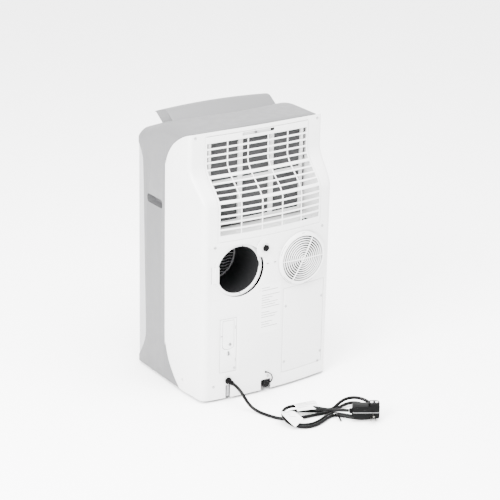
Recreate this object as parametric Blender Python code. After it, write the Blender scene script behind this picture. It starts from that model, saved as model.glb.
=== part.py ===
"""Portable air conditioner, dual-duct, on casters: a full assembly of separate pieces.

Metres, +Z up. The back of the machine faces +Y, the front -Y. The origin is on the
floor, under the middle of the machine.
"""
import math

import bmesh
import bpy
from mathutils import Matrix, Vector

for old in list(bpy.data.objects):
    bpy.data.objects.remove(old)

# ---------------------------------------------------------------- overall sizes
WIDTH = 0.420
BACK_TOP_Y = 0.1077          # upper back, on the middle line
BACK_LOW_Y = 0.1829          # lower, swollen back, on the middle line
FRONT_Y = -0.1918            # front, on the middle line
SHELL_TOP = 0.738            # upper edge of the rear shell
TOP_LEVEL = 0.7455           # flat rear part of the top
SKIRT_Z = 0.008              # lower edge of the casing over the floor

# ---------------------------------------------------------------- casing shape
WALL = 0.0026
SEAM = 0.0008                # seam between two casing pieces
TOUCH = 0.0003               # between pieces that touch
BACK_TOP_BOW = 0.0077        # how far the upper back falls away towards its corners
BACK_LOW_BOW = 0.0197
FRONT_BOW = 0.018
SWELL_TOP = 0.650            # the back swells out between these heights
SWELL_LOW = 0.550
CREASE_Y = 0.0825
FLANK_TAPER = 0.006
CORNER_TOP_R = 0.012
CORNER_LOW_R = 0.020
CORNER_FRONT_R = 0.030
EDGE_TOP_R = 0.030
TOP_CROWN = 0.007
KNEE_Y = -0.035              # behind this the top is flat, before it the top slopes down
SLOPE = 0.40
NOSE_R = 0.022

# ---------------------------------------------------------------- air outlet and hood
HOOD_HALF = 0.165
HOOD_ARCH = 0.006
HOOD_PLATE = 0.003
HOOD_PIVOT = (-0.052, 0.712)             # Y, Z
HOOD_BACK = (-0.046, 0.723)
HOOD_RIDGE = (-0.092, 0.750)
HOOD_TIP = (-0.149, 0.734)
OUTLET_HALF = HOOD_HALF + 0.004
OUTLET_FRONT_Y = -0.152
OUTLET_BACK_Y = -0.040
DISH_DEPTH = 0.011
DISH_LENGTH = 0.042
VANE_COUNT = 3
VANE_PITCH = 0.075
VANE_LENGTH = 0.050
VANE_HEIGHT = 0.040
VANE_THICKNESS = 0.002

# ---------------------------------------------------------------- grille and filter
GRILLE_HALF = 0.1625
GRILLE_TOP = 0.7255
GRILLE_LOW = 0.4575
GRILLE_MARGIN_X = 0.0055
GRILLE_MARGIN_TOP = 0.0185
GRILLE_MARGIN_LOW = 0.0175
GRILLE_ROWS = (5, 4, 5)                  # slots between the thick bars
GRILLE_COLUMNS = 5
SLAT = 0.005
THICK_SLAT = 0.009
RIB = 0.0025
FILTER_Y = 0.091
FILTER_DEPTH = 0.007
FILTER_HALF = 0.150
FILTER_LOW = 0.474
FILTER_TOP = 0.716
BAY_WALL = 0.0016
BAY_FRONT_Y = 0.083

# ---------------------------------------------------------------- ports
PORT_X = 0.098
PORT_Z = 0.370
PORT_R = 0.0657
COLLAR_R = 0.0735
COLLAR_FRONT_Y = 0.130
DUCT_END_Y = 0.0470          # deep end of the exhaust duct
DUCT_WALL = 0.0028
GUARD_THICKNESS = 0.003
GUARD_FINS = 9
GUARD_GAP = 0.0070           # between the guard's fins
VENT_R = 0.0750
VENT_FACE_Y = 0.1918
VENT_BACK_Y = 0.1600
VENT_RINGS = 4
DRAIN_HIGH = (0.022, 0.422)              # X, Z
DRAIN_LOW = (0.010, 0.026)
DRAIN_R = 0.0062

# ---------------------------------------------------------------- lower back
SERVICE_X = (-0.183, -0.042)
SERVICE_Z = (0.045, 0.291)
CORD_COVER_X = (0.1055, 0.1525)
CORD_COVER_Z = (0.0845, 0.2375)
FLAP_X = (0.1130, 0.1450)
FLAP_Z = (0.1500, 0.2320)
CORD_EXIT = (0.128, 0.058)               # X, Z
CORD_R = 0.0045

# ---------------------------------------------------------------- handles and controls
HANDLE_Y = (-0.113, -0.034)
HANDLE_Z = (0.497, 0.521)
HANDLE_DEPTH = 0.024
PANEL_HALF = 0.085
PANEL_Z = (0.595, 0.635)
BUTTON_COUNT = 4
BUTTON_R = 0.0065
BUTTON_PITCH = 0.022
BUTTON_FIRST_X = 0.004
BUTTON_PROUD = 0.0012

# ---------------------------------------------------------------- base and casters
TRAY_Z = 0.045
TRAY_FLOOR = 0.004
TRAY_RIM_Z = 0.075
TRAY_RIM = 0.985             # inside of the rim, as a share of the outline
CASTER_X = 0.150
CASTER_Y = 0.110
CASTER_R = 0.020
CASTER_WIDTH = 0.020
CASTER_TRAIL = 0.010
CASTER_STEM_R = 0.005
CASTER_AXLE_R = 0.0030
RUNNING = 0.0003

# ---------------------------------------------------------------- inside
DECK_Z = 0.4500
DECK_THICKNESS = 0.003
BLOWER_HIGH = (0.0, -0.045, 0.5275)
BLOWER_HIGH_R = 0.070
BLOWER_LOW = (0.098, -0.0340, 0.330)
BLOWER_LOW_R = 0.062
BLOWER_WIDTH = 0.050
BLADES = 14
SHAFT_R = 0.004
MOTOR_FOOT = 0.030           # width of a motor's foot
COMPRESSOR = (-0.090, -0.060)
COMPRESSOR_R = 0.058
COMPRESSOR_HEIGHT = 0.210

# ---------------------------------------------------------------- free cord
# Every Y here is measured from the lower back's middle line.
CORD_ROUTE = (
    (0.1280, 0.0166, 0.0580),
    (0.1280, 0.0286, 0.0580),
    (0.1250, 0.0515, 0.0508),
    (0.1200, 0.0662, 0.0317),
    (0.1130, 0.0809, 0.0122),
    (0.1030, 0.1038, 0.0050),
    (0.0960, 0.1241, 0.0048),
    (0.0880, 0.1461, 0.0048),
    (0.0800, 0.1621, 0.0049),
    (0.0716, 0.1731, 0.0055),
)
TAIL_ROUTE = (
    (-0.0420, 0.2231, 0.0240),
    (-0.0500, 0.2281, 0.0240),
    (-0.0590, 0.2371, 0.0250),
    (-0.0690, 0.2486, 0.0268),
    (-0.0800, 0.2591, 0.0275),
)
HANK_LEFT = (0.035, 0.2021, 0.046)       # X, Y, end radius
HANK_RIGHT = (-0.125, 0.2371, 0.052)
HANK_HEIGHT = 0.0188
HANK_LOW_HEIGHT = 0.0094                 # where the plug lies on it
HANK_LOW_X = -0.066
PLUG_CENTRE = (-0.1190, 0.2821, 0.0273)
PLUG_SIZE = (0.072, 0.030, 0.035)
PLUG_TURN = math.radians(-30.0)

HALF = WIDTH / 2


# ================================================================ helpers
def finish(node, colour, roughness, metallic=0.0):
    """Give a node its own Principled material."""
    material = bpy.data.materials.new(node.name + "_finish")
    material.use_nodes = True
    shader = material.node_tree.nodes["Principled BSDF"]
    shader.inputs["Base Color"].default_value = (*colour, 1.0)
    shader.inputs["Roughness"].default_value = roughness
    shader.inputs["Metallic"].default_value = metallic
    node.data.materials.clear()
    node.data.materials.append(material)
    for face in node.data.polygons:
        face.material_index = 0
    return node


def add_node(name, bm):
    """Turn a bmesh into a named object, faces pointing out."""
    bmesh.ops.recalc_face_normals(bm, faces=bm.faces)
    mesh = bpy.data.meshes.new(name)
    bm.to_mesh(mesh)
    bm.free()
    node = bpy.data.objects.new(name, mesh)
    bpy.context.collection.objects.link(node)
    return node


def carve(target, cutter, operation="DIFFERENCE"):
    """Apply one Boolean to the target and drop the cutter."""
    modifier = target.modifiers.new("cut", "BOOLEAN")
    modifier.operation = operation
    modifier.solver = "EXACT"
    modifier.object = cutter
    evaluated = target.evaluated_get(bpy.context.evaluated_depsgraph_get())
    mesh = bpy.data.meshes.new_from_object(evaluated)
    target.modifiers.clear()
    target.data = mesh
    bpy.data.objects.remove(cutter)
    return target


def join(target, other):
    return carve(target, other, "UNION")


def keep_inside(target, region):
    return carve(target, region, "INTERSECT")


def box(name, low, high):
    bm = bmesh.new()
    bmesh.ops.create_cube(bm, size=1.0)
    for vert in bm.verts:
        vert.co = Vector(low[i] + (vert.co[i] + 0.5) * (high[i] - low[i]) for i in range(3))
    return add_node(name, bm)


def prism(name, outline, axis, low, high):
    """Extrude a closed outline along X, Y or Z. The outline holds the other two axes in order."""
    others = [i for i in range(3) if i != axis]
    bm = bmesh.new()
    rings = []
    for level in (low, high):
        ring = []
        for point in outline:
            place = [0.0, 0.0, 0.0]
            place[axis] = level
            place[others[0]], place[others[1]] = point
            ring.append(bm.verts.new(place))
        rings.append(ring)
    count = len(outline)
    for i in range(count):
        j = (i + 1) % count
        bm.faces.new((rings[0][i], rings[0][j], rings[1][j], rings[1][i]))
    bm.faces.new(rings[0])
    bm.faces.new(rings[1])
    return add_node(name, bm)


def round_outline(radius, count, turn=0.0):
    step = 2 * math.pi / count
    return [(radius * math.cos(turn + i * step), radius * math.sin(turn + i * step)) for i in range(count)]


def rod(name, radius, axis, low, high, centre=(0.0, 0.0), count=24):
    """Round bar along an axis. The centre holds the other two axes in order."""
    outline = [(centre[0] + u, centre[1] + v) for u, v in round_outline(radius, count)]
    return prism(name, outline, axis, low, high)


def turned(name, profile, axis, centre, count=32):
    """Turn a closed profile of (radius, place along the axis) points about an axis.

    Points at radius 0 become one, so a profile that starts and ends there gives a solid piece.
    """
    others = [i for i in range(3) if i != axis]
    bm = bmesh.new()
    rings = []
    for i in range(count):
        angle = 2 * math.pi * i / count
        ring = []
        for radius, along in profile:
            place = [0.0, 0.0, 0.0]
            place[axis] = along
            place[others[0]] = centre[0] + radius * math.cos(angle)
            place[others[1]] = centre[1] + radius * math.sin(angle)
            ring.append(bm.verts.new(place))
        rings.append(ring)
    for i in range(count):
        for k in range(len(profile)):
            near, far = rings[i], rings[(i + 1) % count]
            m = (k + 1) % len(profile)
            if profile[k][0] > 0 or profile[m][0] > 0:
                bm.faces.new((near[k], far[k], far[m], near[m]))
    bmesh.ops.remove_doubles(bm, verts=bm.verts, dist=1e-7)
    return add_node(name, bm)


def ring_profile(inner, outer, low, high):
    return [(inner, low), (outer, low), (outer, high), (inner, high)]


def lattice(name, columns, rows, place, is_open=None, wrap=False):
    """Thick sheet on a grid. place(u, v, side) gives a point of the outer (0) or inner (1) face.

    Cells for which is_open(i, j) holds are left out, with walls round them.
    """
    bm = bmesh.new()
    grid = [[[bm.verts.new(place(u, v, side)) for v in rows] for u in columns] for side in (0, 1)]
    wide = len(columns) if wrap else len(columns) - 1
    tall = len(rows) - 1

    def solid(i, j):
        if wrap:
            i %= wide
        if not (0 <= i < wide and 0 <= j < tall):
            return False
        return not (is_open and is_open(i, j))

    for i in range(wide):
        for j in range(tall):
            if not solid(i, j):
                continue
            n = (i + 1) % len(columns)
            outer, inner = grid
            bm.faces.new((outer[i][j], outer[n][j], outer[n][j + 1], outer[i][j + 1]))
            bm.faces.new((inner[i][j], inner[i][j + 1], inner[n][j + 1], inner[n][j]))
            edges = (
                ((i - 1, j), (i, j), (i, j + 1)),
                ((i + 1, j), (n, j + 1), (n, j)),
                ((i, j - 1), (n, j), (i, j)),
                ((i, j + 1), (i, j + 1), (n, j + 1)),
            )
            for neighbour, start, end in edges:
                if not solid(*neighbour):
                    a, b = start
                    c, d = end
                    bm.faces.new((outer[a][b], outer[c][d], inner[c][d], inner[a][b]))
    loose = [vert for vert in bm.verts if not vert.link_faces]
    bmesh.ops.delete(bm, geom=loose, context="VERTS")
    bmesh.ops.triangulate(bm, faces=bm.faces)
    return add_node(name, bm)


def spread(low, high, count):
    return [low + (high - low) * i / count for i in range(count + 1)]


def smooth(t):
    t = min(1.0, max(0.0, t))
    return t * t * (3 - 2 * t)


def curve_through(points, step):
    """Points about one step apart along a smooth curve through the given ones."""
    points = [Vector(point) for point in points]
    padded = [2 * points[0] - points[1], *points, 2 * points[-1] - points[-2]]
    fine = []
    for before, start, end, after in zip(padded, padded[1:], padded[2:], padded[3:]):
        for k in range(12):
            t = k / 12
            fine.append(0.5 * (2 * start + (end - before) * t
                               + (2 * before - 5 * start + 4 * end - after) * t * t
                               + (3 * start - before - 3 * end + after) * t ** 3))
    fine.append(points[-1])
    length = sum((b - a).length for a, b in zip(fine, fine[1:]))
    count = max(2, round(length / step))
    result = [fine[0]]
    run = 0.0
    for a, b in zip(fine, fine[1:]):
        run += (b - a).length
        if run >= length * len(result) / count and len(result) < count:
            result.append(b)
    result.append(fine[-1])
    return result


def tube(name, route, radius, step, sides=2):
    """Cord, pipe or hose along a smooth route, as a bevelled poly curve."""
    data = bpy.data.curves.new(name, "CURVE")
    data.dimensions = "3D"
    data.bevel_depth = radius
    data.bevel_resolution = sides
    data.use_fill_caps = True
    points = curve_through(route, step)
    spline = data.splines.new("POLY")
    spline.points.add(len(points) - 1)
    for target, point in zip(spline.points, points):
        target.co = (*point, 1.0)
    node = bpy.data.objects.new(name, data)
    bpy.context.collection.objects.link(node)
    return node


def finish_curve(node, colour, roughness):
    material = bpy.data.materials.new(node.name + "_finish")
    material.use_nodes = True
    shader = material.node_tree.nodes["Principled BSDF"]
    shader.inputs["Base Color"].default_value = (*colour, 1.0)
    shader.inputs["Roughness"].default_value = roughness
    node.data.materials.append(material)
    return node


def put_origin(node, point):
    """Move a node's origin to a point, its shape staying where it is."""
    node.data.transform(Matrix.Translation(-Vector(point)))
    node.location = point
    return node


WHITE = (0.86, 0.86, 0.85)
PALE = (0.72, 0.73, 0.74)
GREY = (0.50, 0.50, 0.51)
DARK = (0.03, 0.03, 0.032)
STEEL = (0.55, 0.55, 0.56)
COPPER = (0.60, 0.30, 0.16)


# ================================================================ casing surfaces
def swell(z):
    """0 on the upper back, 1 on the swollen lower back."""
    return smooth((SWELL_TOP - z) / (SWELL_TOP - SWELL_LOW))


def back_y(x, z):
    upper = BACK_TOP_Y - BACK_TOP_BOW * (x / HALF) ** 2
    lower = BACK_LOW_Y - BACK_LOW_BOW * (x / HALF) ** 2
    return upper + (lower - upper) * swell(z)


def front_y(x):
    return FRONT_Y + FRONT_BOW * (x / HALF) ** 2


def top_z(x, y):
    """Outer top: flat at the back, sloping to a rounded nose at the front, dished behind the hood."""
    knee = 0.030
    ahead = KNEE_Y - y
    if ahead < -knee:
        fall = 0.0
    elif ahead < knee:
        fall = SLOPE * (ahead + knee) ** 2 / (4 * knee)
    else:
        fall = SLOPE * ahead
    nose = front_y(x) + NOSE_R - y
    if nose > 0:
        fall += NOSE_R - math.sqrt(max(0.0, NOSE_R ** 2 - nose ** 2))
    tail = y - (back_y(x, 1.0) - CORNER_TOP_R)
    if tail > 0:
        depth = min(1.0, tail / CORNER_TOP_R)
        fall += 0.010 * (1 - math.sqrt(max(0.0, 1 - depth ** 2)))
    crown = TOP_CROWN * ((x / HALF) ** 2)
    reach = max(0.001, DISH_LENGTH * (1 - (x / (HOOD_HALF - 0.005)) ** 2))
    dish = DISH_DEPTH * smooth(1 - (y - OUTLET_BACK_Y) / reach) if y < OUTLET_BACK_Y + reach else 0.0
    if abs(x) > HOOD_HALF - 0.005 or y < OUTLET_FRONT_Y + 0.010:
        dish = 0.0
    return TOP_LEVEL - fall - crown - dish


def mirrored(half_points):
    """A run of points at +X, from the flank to the middle, carried on to the -X flank."""
    return half_points + [(-x, y) for x, y in reversed(half_points[:-1])]


def back_outline(z, inset):
    """Plan of the rear shell at one height, from the +X flank round to the -X flank."""
    swollen = swell(z)
    radius = CORNER_TOP_R + (CORNER_LOW_R - CORNER_TOP_R) * swollen
    centre_x = HALF - FLANK_TAPER * swollen - radius
    centre_y = back_y(centre_x, z) - radius
    points = [(HALF - inset, -0.060), (HALF - inset, min(CREASE_Y, centre_y - 0.003))]
    for step in range(5):
        angle = math.pi / 2 * step / 4
        points.append((centre_x + (radius - inset) * math.cos(angle),
                       centre_y + (radius - inset) * math.sin(angle)))
    for x in spread(centre_x, 0.0, 4)[1:]:
        points.append((x, back_y(x, z) - inset))
    return mirrored(points)


def front_outline(inset):
    """Plan of the front panel, from the +X flank round the front to the -X flank."""
    radius = CORNER_FRONT_R
    centre_x = HALF - radius
    centre_y = front_y(centre_x) + radius
    points = [(HALF - inset, -0.090)]
    for step in range(6):
        angle = math.pi / 2 * step / 5
        points.append((centre_x + (radius - inset) * math.cos(angle),
                       centre_y - (radius - inset) * math.sin(angle)))
    for x in spread(centre_x, 0.0, 4)[1:]:
        points.append((x, front_y(x) + inset))
    return mirrored(points)


FRONT_SEAM = (
    (-0.166, -0.02), (-0.164, 0.020), (-0.146, 0.048), (-0.128, 0.082), (-0.1215, 0.120),
    (-0.1250, 0.250), (-0.1290, 0.400), (-0.1345, 0.590), (-0.1420, 0.625), (-0.1560, 0.646),
    (-0.1780, 0.656), (-0.230, 0.660),
)
BACK_SEAM = (
    (0.066, -0.02), (0.056, 0.008), (0.035, 0.028), (0.016, 0.050), (0.002, 0.070), (-0.008, 0.092),
    (-0.016, 0.118), (-0.020, 0.150), (-0.020, 0.600), (-0.0175, 0.628), (-0.009, 0.653),
    (0.004, 0.674), (0.022, 0.694), (0.045, 0.711), (0.072, 0.7260), (0.092, 0.7345),
    (0.104, SHELL_TOP + 0.0002), (0.300, SHELL_TOP + 0.0002),
)


def shifted(outline, offset):
    """An open (Y, Z) seam line moved square to itself, to its right."""
    result = []
    for i, point in enumerate(outline):
        before = Vector(outline[max(0, i - 1)])
        after = Vector(outline[min(len(outline) - 1, i + 1)])
        along = (after - before).normalized()
        result.append((point[0] + along.y * offset, point[1] - along.x * offset))
    return result


def side_region(name, outline):
    return prism(name, outline, 0, -HALF - 0.05, HALF + 0.05)


def surface_plate(name, x_range, z_range, inset, thickness, columns=4, rows=1, is_open=None):
    """Plate that follows the back of the casing."""
    return lattice(
        name, spread(*x_range, columns), spread(*z_range, rows),
        lambda x, z, side: (x, back_y(x, z) - inset - side * thickness, z), is_open)


# ================================================================ casing pieces
def build_rear_shell():
    heights = [SKIRT_Z, *spread(SWELL_LOW, SWELL_TOP, 7), SHELL_TOP]
    stations = range(len(back_outline(0.3, 0.0)))

    def place(k, z, side):
        x, y = back_outline(z, side * WALL)[k]
        return (x, y, z)

    shell = lattice("rear_shell", stations, heights, place)
    seam = shifted(BACK_SEAM, SEAM / 2)
    keep_inside(shell, side_region("region", seam + [(0.300, -0.02)]))
    carve(shell, box("cut", (-GRILLE_HALF - SEAM, 0.03, GRILLE_LOW - SEAM),
                     (GRILLE_HALF + SEAM, 0.30, GRILLE_TOP + 2 * SEAM)))
    carve(shell, rod("cut", COLLAR_R + TOUCH, 1, 0.10, 0.30, (PORT_X, PORT_Z), 32))
    carve(shell, rod("cut", VENT_R + 0.0008, 1, 0.10, 0.30, (-PORT_X, PORT_Z), 32))
    carve(shell, rod("cut", 0.0125, 1, 0.10, 0.30, DRAIN_HIGH, 20))
    carve(shell, box("cut", (SERVICE_X[0] - SEAM, 0.10, SERVICE_Z[0] - SEAM),
                     (SERVICE_X[1] + SEAM, 0.30, SERVICE_Z[1] + SEAM)))
    carve(shell, box("cut", (CORD_COVER_X[0] - SEAM, 0.10, CORD_COVER_Z[0] - SEAM),
                     (CORD_COVER_X[1] + SEAM, 0.30, CORD_COVER_Z[1] + SEAM)))
    carve(shell, rod("cut", 0.0085, 1, 0.10, 0.30, CORD_EXIT, 20))
    carve(shell, box("cut", (DRAIN_LOW[0] - 0.016, 0.10, -0.02), (DRAIN_LOW[0] + 0.016, 0.30, 0.040)))
    return finish(shell, WHITE, 0.35)


def hoop_station(index, t, inset):
    """Point of the side-and-top frame: index runs over the section, t from front (0) to back (1)."""
    section = HOOP_SECTION[index]
    radius = EDGE_TOP_R - inset
    centre_x = HALF - EDGE_TOP_R
    kind, value = section
    if kind == "leg":
        x = HALF - inset
    elif kind == "edge":
        x = centre_x + radius * math.cos(value)
    else:
        x = value
    near = abs(x)
    y = front_y(near) + inset * (t == 0) + (back_y(near, 1.0) - front_y(near)) * t
    z_edge = top_z(x, y) - EDGE_TOP_R
    if kind == "leg":
        z = SKIRT_Z if value == 0 else z_edge
    elif kind == "edge":
        z = z_edge + radius * math.sin(value)
    else:
        z = top_z(x, y) - inset
    limit = plan_half(y) - inset
    return (min(x, limit), y, z)


def plan_half(y):
    """Half width of the frame at one depth, with the front and back corners rounded in plan."""
    front_centre = front_y(HALF - CORNER_FRONT_R) + CORNER_FRONT_R
    back_centre = back_y(HALF - CORNER_TOP_R, 1.0) - CORNER_TOP_R
    if y < front_centre:
        depth = min(CORNER_FRONT_R, front_centre - y)
        return HALF - CORNER_FRONT_R + math.sqrt(CORNER_FRONT_R ** 2 - depth ** 2) + 0.002
    if y > back_centre:
        depth = min(CORNER_TOP_R, y - back_centre)
        return HALF - CORNER_TOP_R + math.sqrt(CORNER_TOP_R ** 2 - depth ** 2)
    return HALF


HOOP_SECTION = (
    [("leg", 0), ("leg", 1)]
    + [("edge", math.pi / 2 * step / 4) for step in range(1, 5)]
    + [("top", x) for x in (HOOD_HALF - 0.008, 0.120, 0.080, 0.040, 0.0)]
)


def build_side_and_top_frame():
    count = len(HOOP_SECTION)
    depths = [0.0, 0.015, 0.045, 0.09, 0.145, 0.20, 0.35, 0.44, 0.50, 0.53, 0.56, 0.60, 0.64,
              0.85, 0.955, 0.975, 0.99, 1.0]

    def place(k, t, side):
        if k < count:
            return hoop_station(k, t, side * WALL)
        x, y, z = hoop_station(2 * count - 2 - k, t, side * WALL)
        return (-x, y, z)

    frame = lattice("side_and_top_frame", range(2 * count - 1), depths, place)
    front = shifted(FRONT_SEAM, SEAM / 2)
    back = shifted(BACK_SEAM, -SEAM / 2)
    outline = back + [(0.300, 0.80), (-0.300, 0.80), (-0.300, front[-1][1])] + list(reversed(front))
    keep_inside(frame, side_region("region", outline))
    carve(frame, box("cut", (-OUTLET_HALF, OUTLET_FRONT_Y, 0.60),
                     (OUTLET_HALF, OUTLET_BACK_Y, 0.80)))
    for side in (-1, 1):
        outer = HALF - 0.001
        low, high = sorted((side * (outer - HANDLE_DEPTH - WALL), side * outer))
        join(frame, box("cup", (low, HANDLE_Y[0] - WALL, HANDLE_Z[0] - WALL),
                        (high, HANDLE_Y[1] + WALL, HANDLE_Z[1] + WALL)))
        low, high = sorted((side * (outer - HANDLE_DEPTH), side * (HALF + 0.01)))
        carve(frame, box("cut", (low, HANDLE_Y[0], HANDLE_Z[0]), (high, HANDLE_Y[1], HANDLE_Z[1])))
    return finish(frame, GREY, 0.42)


def build_front_panel():
    stations = range(len(front_outline(0.0)))

    def place(k, z, side):
        x, y = front_outline(side * WALL)[k]
        return (x, y, z)

    panel = lattice("front_panel", stations, [0.020, 0.15, 0.40, 0.56, 0.690], place)
    seam = shifted(FRONT_SEAM, -SEAM / 2)
    keep_inside(panel, side_region("region", seam + [(-0.300, 0.660), (-0.300, -0.02)]))
    carve(panel, box("cut", (-PANEL_HALF - SEAM, -0.25, PANEL_Z[0] - SEAM),
                     (PANEL_HALF + SEAM, -0.10, PANEL_Z[1] + SEAM)))
    return finish(panel, PALE, 0.30)


def build_service_panel():
    panel = surface_plate("service_panel", SERVICE_X, SERVICE_Z, 0.0, WALL, 5, 2)
    return finish(panel, WHITE, 0.35)


def build_cord_cover():
    columns = [CORD_COVER_X[0], FLAP_X[0] - SEAM, sum(FLAP_X) / 2, FLAP_X[1] + SEAM, CORD_COVER_X[1]]
    rows = [CORD_COVER_Z[0], FLAP_Z[0] - SEAM, FLAP_Z[1] + SEAM, CORD_COVER_Z[1]]
    cover = lattice("cord_cover", columns, rows,
                    lambda x, z, side: (x, back_y(x, z) - side * WALL, z),
                    lambda i, j: i in (1, 2) and j == 1)
    finish(cover, WHITE, 0.4)
    flap = surface_plate("cord_cover_flap", FLAP_X, FLAP_Z, 0.0, 0.0020, 3)
    pivot_y = back_y(FLAP_X[0], FLAP_Z[1])
    put_origin(finish(flap, WHITE, 0.4), (sum(FLAP_X) / 2, pivot_y, FLAP_Z[1]))


# ================================================================ grille, filter and bay
def arc_heights():
    """Heights and run lengths down the grille's profile, top to bottom."""
    heights = spread(GRILLE_TOP, GRILLE_LOW, 200)
    runs = [0.0]
    for upper, lower in zip(heights, heights[1:]):
        runs.append(runs[-1] + math.hypot(upper - lower, back_y(0, lower) - back_y(0, upper)))
    return heights, runs


def height_at(run, heights, runs):
    for k in range(1, len(runs)):
        if runs[k] >= run:
            share = (run - runs[k - 1]) / (runs[k] - runs[k - 1])
            return heights[k - 1] + (heights[k] - heights[k - 1]) * share
    return heights[-1]


def grille_rows():
    """Row boundaries of the grille, top to bottom, and which rows are slots."""
    heights, runs = arc_heights()
    total = runs[-1] - GRILLE_MARGIN_TOP - GRILLE_MARGIN_LOW
    slots = sum(GRILLE_ROWS)
    thick = len(GRILLE_ROWS) - 1
    slot = (total - SLAT * (slots - 1 - thick) - THICK_SLAT * thick) / slots
    marks = [0.0, GRILLE_MARGIN_TOP]
    open_rows = []
    for group, count in enumerate(GRILLE_ROWS):
        for k in range(count):
            open_rows.append(len(marks) - 1)
            marks.append(marks[-1] + slot)
            if k < count - 1:
                marks.append(marks[-1] + SLAT)
        if group < thick:
            marks.append(marks[-1] + THICK_SLAT)
    marks.append(runs[-1])
    return [height_at(mark, heights, runs) for mark in marks], open_rows


def build_rear_grille():
    rows, open_rows = grille_rows()
    inner_half = GRILLE_HALF - GRILLE_MARGIN_X
    cell = (2 * inner_half - (GRILLE_COLUMNS - 1) * RIB) / GRILLE_COLUMNS
    columns = [-GRILLE_HALF]
    for k in range(GRILLE_COLUMNS):
        columns.append(-inner_half + k * (cell + RIB))
        columns.append(columns[-1] + cell)
    columns.append(GRILLE_HALF)
    grille = lattice("rear_grille", columns, rows,
                     lambda x, z, side: (x, back_y(x, z) - side * WALL, z),
                     lambda i, j: j in open_rows and i % 2 == 1)
    put_origin(finish(grille, WHITE, 0.35), GRILLE_HINGE)


GRILLE_HINGE = (0.0, back_y(0.0, GRILLE_LOW), GRILLE_LOW)


def build_filter():
    margin = 0.008
    bar = 0.012
    third = (2 * FILTER_HALF - 2 * margin - 2 * bar) / 3
    columns = [-FILTER_HALF, -FILTER_HALF + margin]
    for k in range(3):
        columns.append(columns[-1] + third)
        if k < 2:
            columns.append(columns[-1] + bar)
    columns.append(FILTER_HALF)
    middle = (FILTER_LOW + FILTER_TOP) / 2
    rows = [FILTER_LOW, FILTER_LOW + margin, middle - 0.003, middle + 0.003, FILTER_TOP - margin, FILTER_TOP]
    frame = lattice("filter_frame", columns, rows,
                    lambda x, z, side: (x, FILTER_Y + FILTER_DEPTH * (1 - side), z),
                    lambda i, j: i % 2 == 1 and j % 2 == 1)
    finish(frame, WHITE, 0.5)
    mesh = box("filter_mesh", (-FILTER_HALF + 0.002, FILTER_Y - 0.0015, FILTER_LOW + 0.002),
               (FILTER_HALF - 0.002, FILTER_Y - TOUCH, FILTER_TOP - 0.002))
    finish(mesh, (0.16, 0.16, 0.17), 0.8)


def build_filter_bay():
    """White well behind the grille: two cheeks, a floor and a roof, open front and back."""
    clear = WALL + 0.0015
    half = GRILLE_HALF - 0.001
    low = GRILLE_LOW + 0.006
    high = GRILLE_TOP - 0.002
    heights = [low, *spread(SWELL_LOW, SWELL_TOP, 7), high]
    outline = [(BAY_FRONT_Y, high), (BAY_FRONT_Y, low)]
    outline += [(back_y(half, z) - clear - 0.001, z) for z in heights]
    bay = prism("filter_bay", outline, 0, -half, half)
    inner = half - BAY_WALL
    carve(bay, box("cut", (-inner, 0.0, low + BAY_WALL), (inner, 0.30, high - BAY_WALL)))
    return finish(bay, WHITE, 0.45)


# ================================================================ ports and drains
def build_exhaust_port():
    face = back_y(PORT_X + COLLAR_R, PORT_Z)
    collar = turned("exhaust_collar", [
        (PORT_R, COLLAR_FRONT_Y), (COLLAR_R - 0.003, COLLAR_FRONT_Y), (COLLAR_R - 0.003, face - 0.004),
        (COLLAR_R, face - 0.004), (COLLAR_R, face + 0.002), (PORT_R, face + 0.002)], 1, (PORT_X, PORT_Z), 32)
    for angle in (math.radians(100), math.radians(265)):
        x = PORT_X + PORT_R * math.cos(angle)
        z = PORT_Z + PORT_R * math.sin(angle)
        carve(collar, box("cut", (x - 0.006, face - 0.010, z - 0.003), (x + 0.006, 0.20, z + 0.003)))
    finish(collar, WHITE, 0.4)
    near = DUCT_END_Y + DUCT_WALL + TOUCH
    guard = rod("exhaust_guard", PORT_R - TOUCH, 1, near, near + GUARD_THICKNESS, (PORT_X, PORT_Z), 32)
    reach = PORT_R - 0.006
    for z in spread(-reach + GUARD_GAP, reach - GUARD_GAP, GUARD_FINS - 1):
        half = math.sqrt(reach ** 2 - (abs(z) + GUARD_GAP / 2) ** 2)
        carve(guard, box("cut", (PORT_X - half, 0.0, PORT_Z + z - GUARD_GAP / 2),
                         (PORT_X + half, 0.1, PORT_Z + z + GUARD_GAP / 2)))
    finish(guard, PALE, 0.5)


def build_vent_cover():
    spokes = 4
    per_spoke = 5
    angles = []
    for k in range(spokes):
        start = 2 * math.pi * k / spokes
        angles += [start - 0.035, start + 0.035]
        gap = 2 * math.pi / spokes - 0.07
        angles += [start + 0.035 + gap * step / per_spoke for step in range(1, per_spoke)]
    per = per_spoke + 1
    radii = [0.003, 0.010]
    step = (PORT_R + 0.0005 - radii[-1]) / (2 * VENT_RINGS)
    radii += [radii[-1] + step * k for k in range(1, 2 * VENT_RINGS + 1)]

    def place(angle, radius, side):
        dome = 0.004 * (radius / PORT_R) ** 2
        return (-PORT_X + radius * math.cos(angle), VENT_FACE_Y - dome - side * 0.003,
                PORT_Z + radius * math.sin(angle))

    cover = lattice("intake_vent_cover", angles, radii, place,
                    lambda i, j: j % 2 == 1 and i % per != 0, wrap=True)
    rim = VENT_FACE_Y - 0.003
    join(cover, turned("rim", [
        (PORT_R - 0.001, VENT_BACK_Y), (VENT_R - 0.004, VENT_BACK_Y), (VENT_R - 0.004, 0.170),
        (VENT_R, 0.170), (VENT_R, rim - 0.006), (VENT_R - 0.004, rim), (PORT_R - 0.001, rim)],
        1, (-PORT_X, PORT_Z), 32))
    put_origin(finish(cover, WHITE, 0.38), (-PORT_X, VENT_FACE_Y, PORT_Z))


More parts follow.
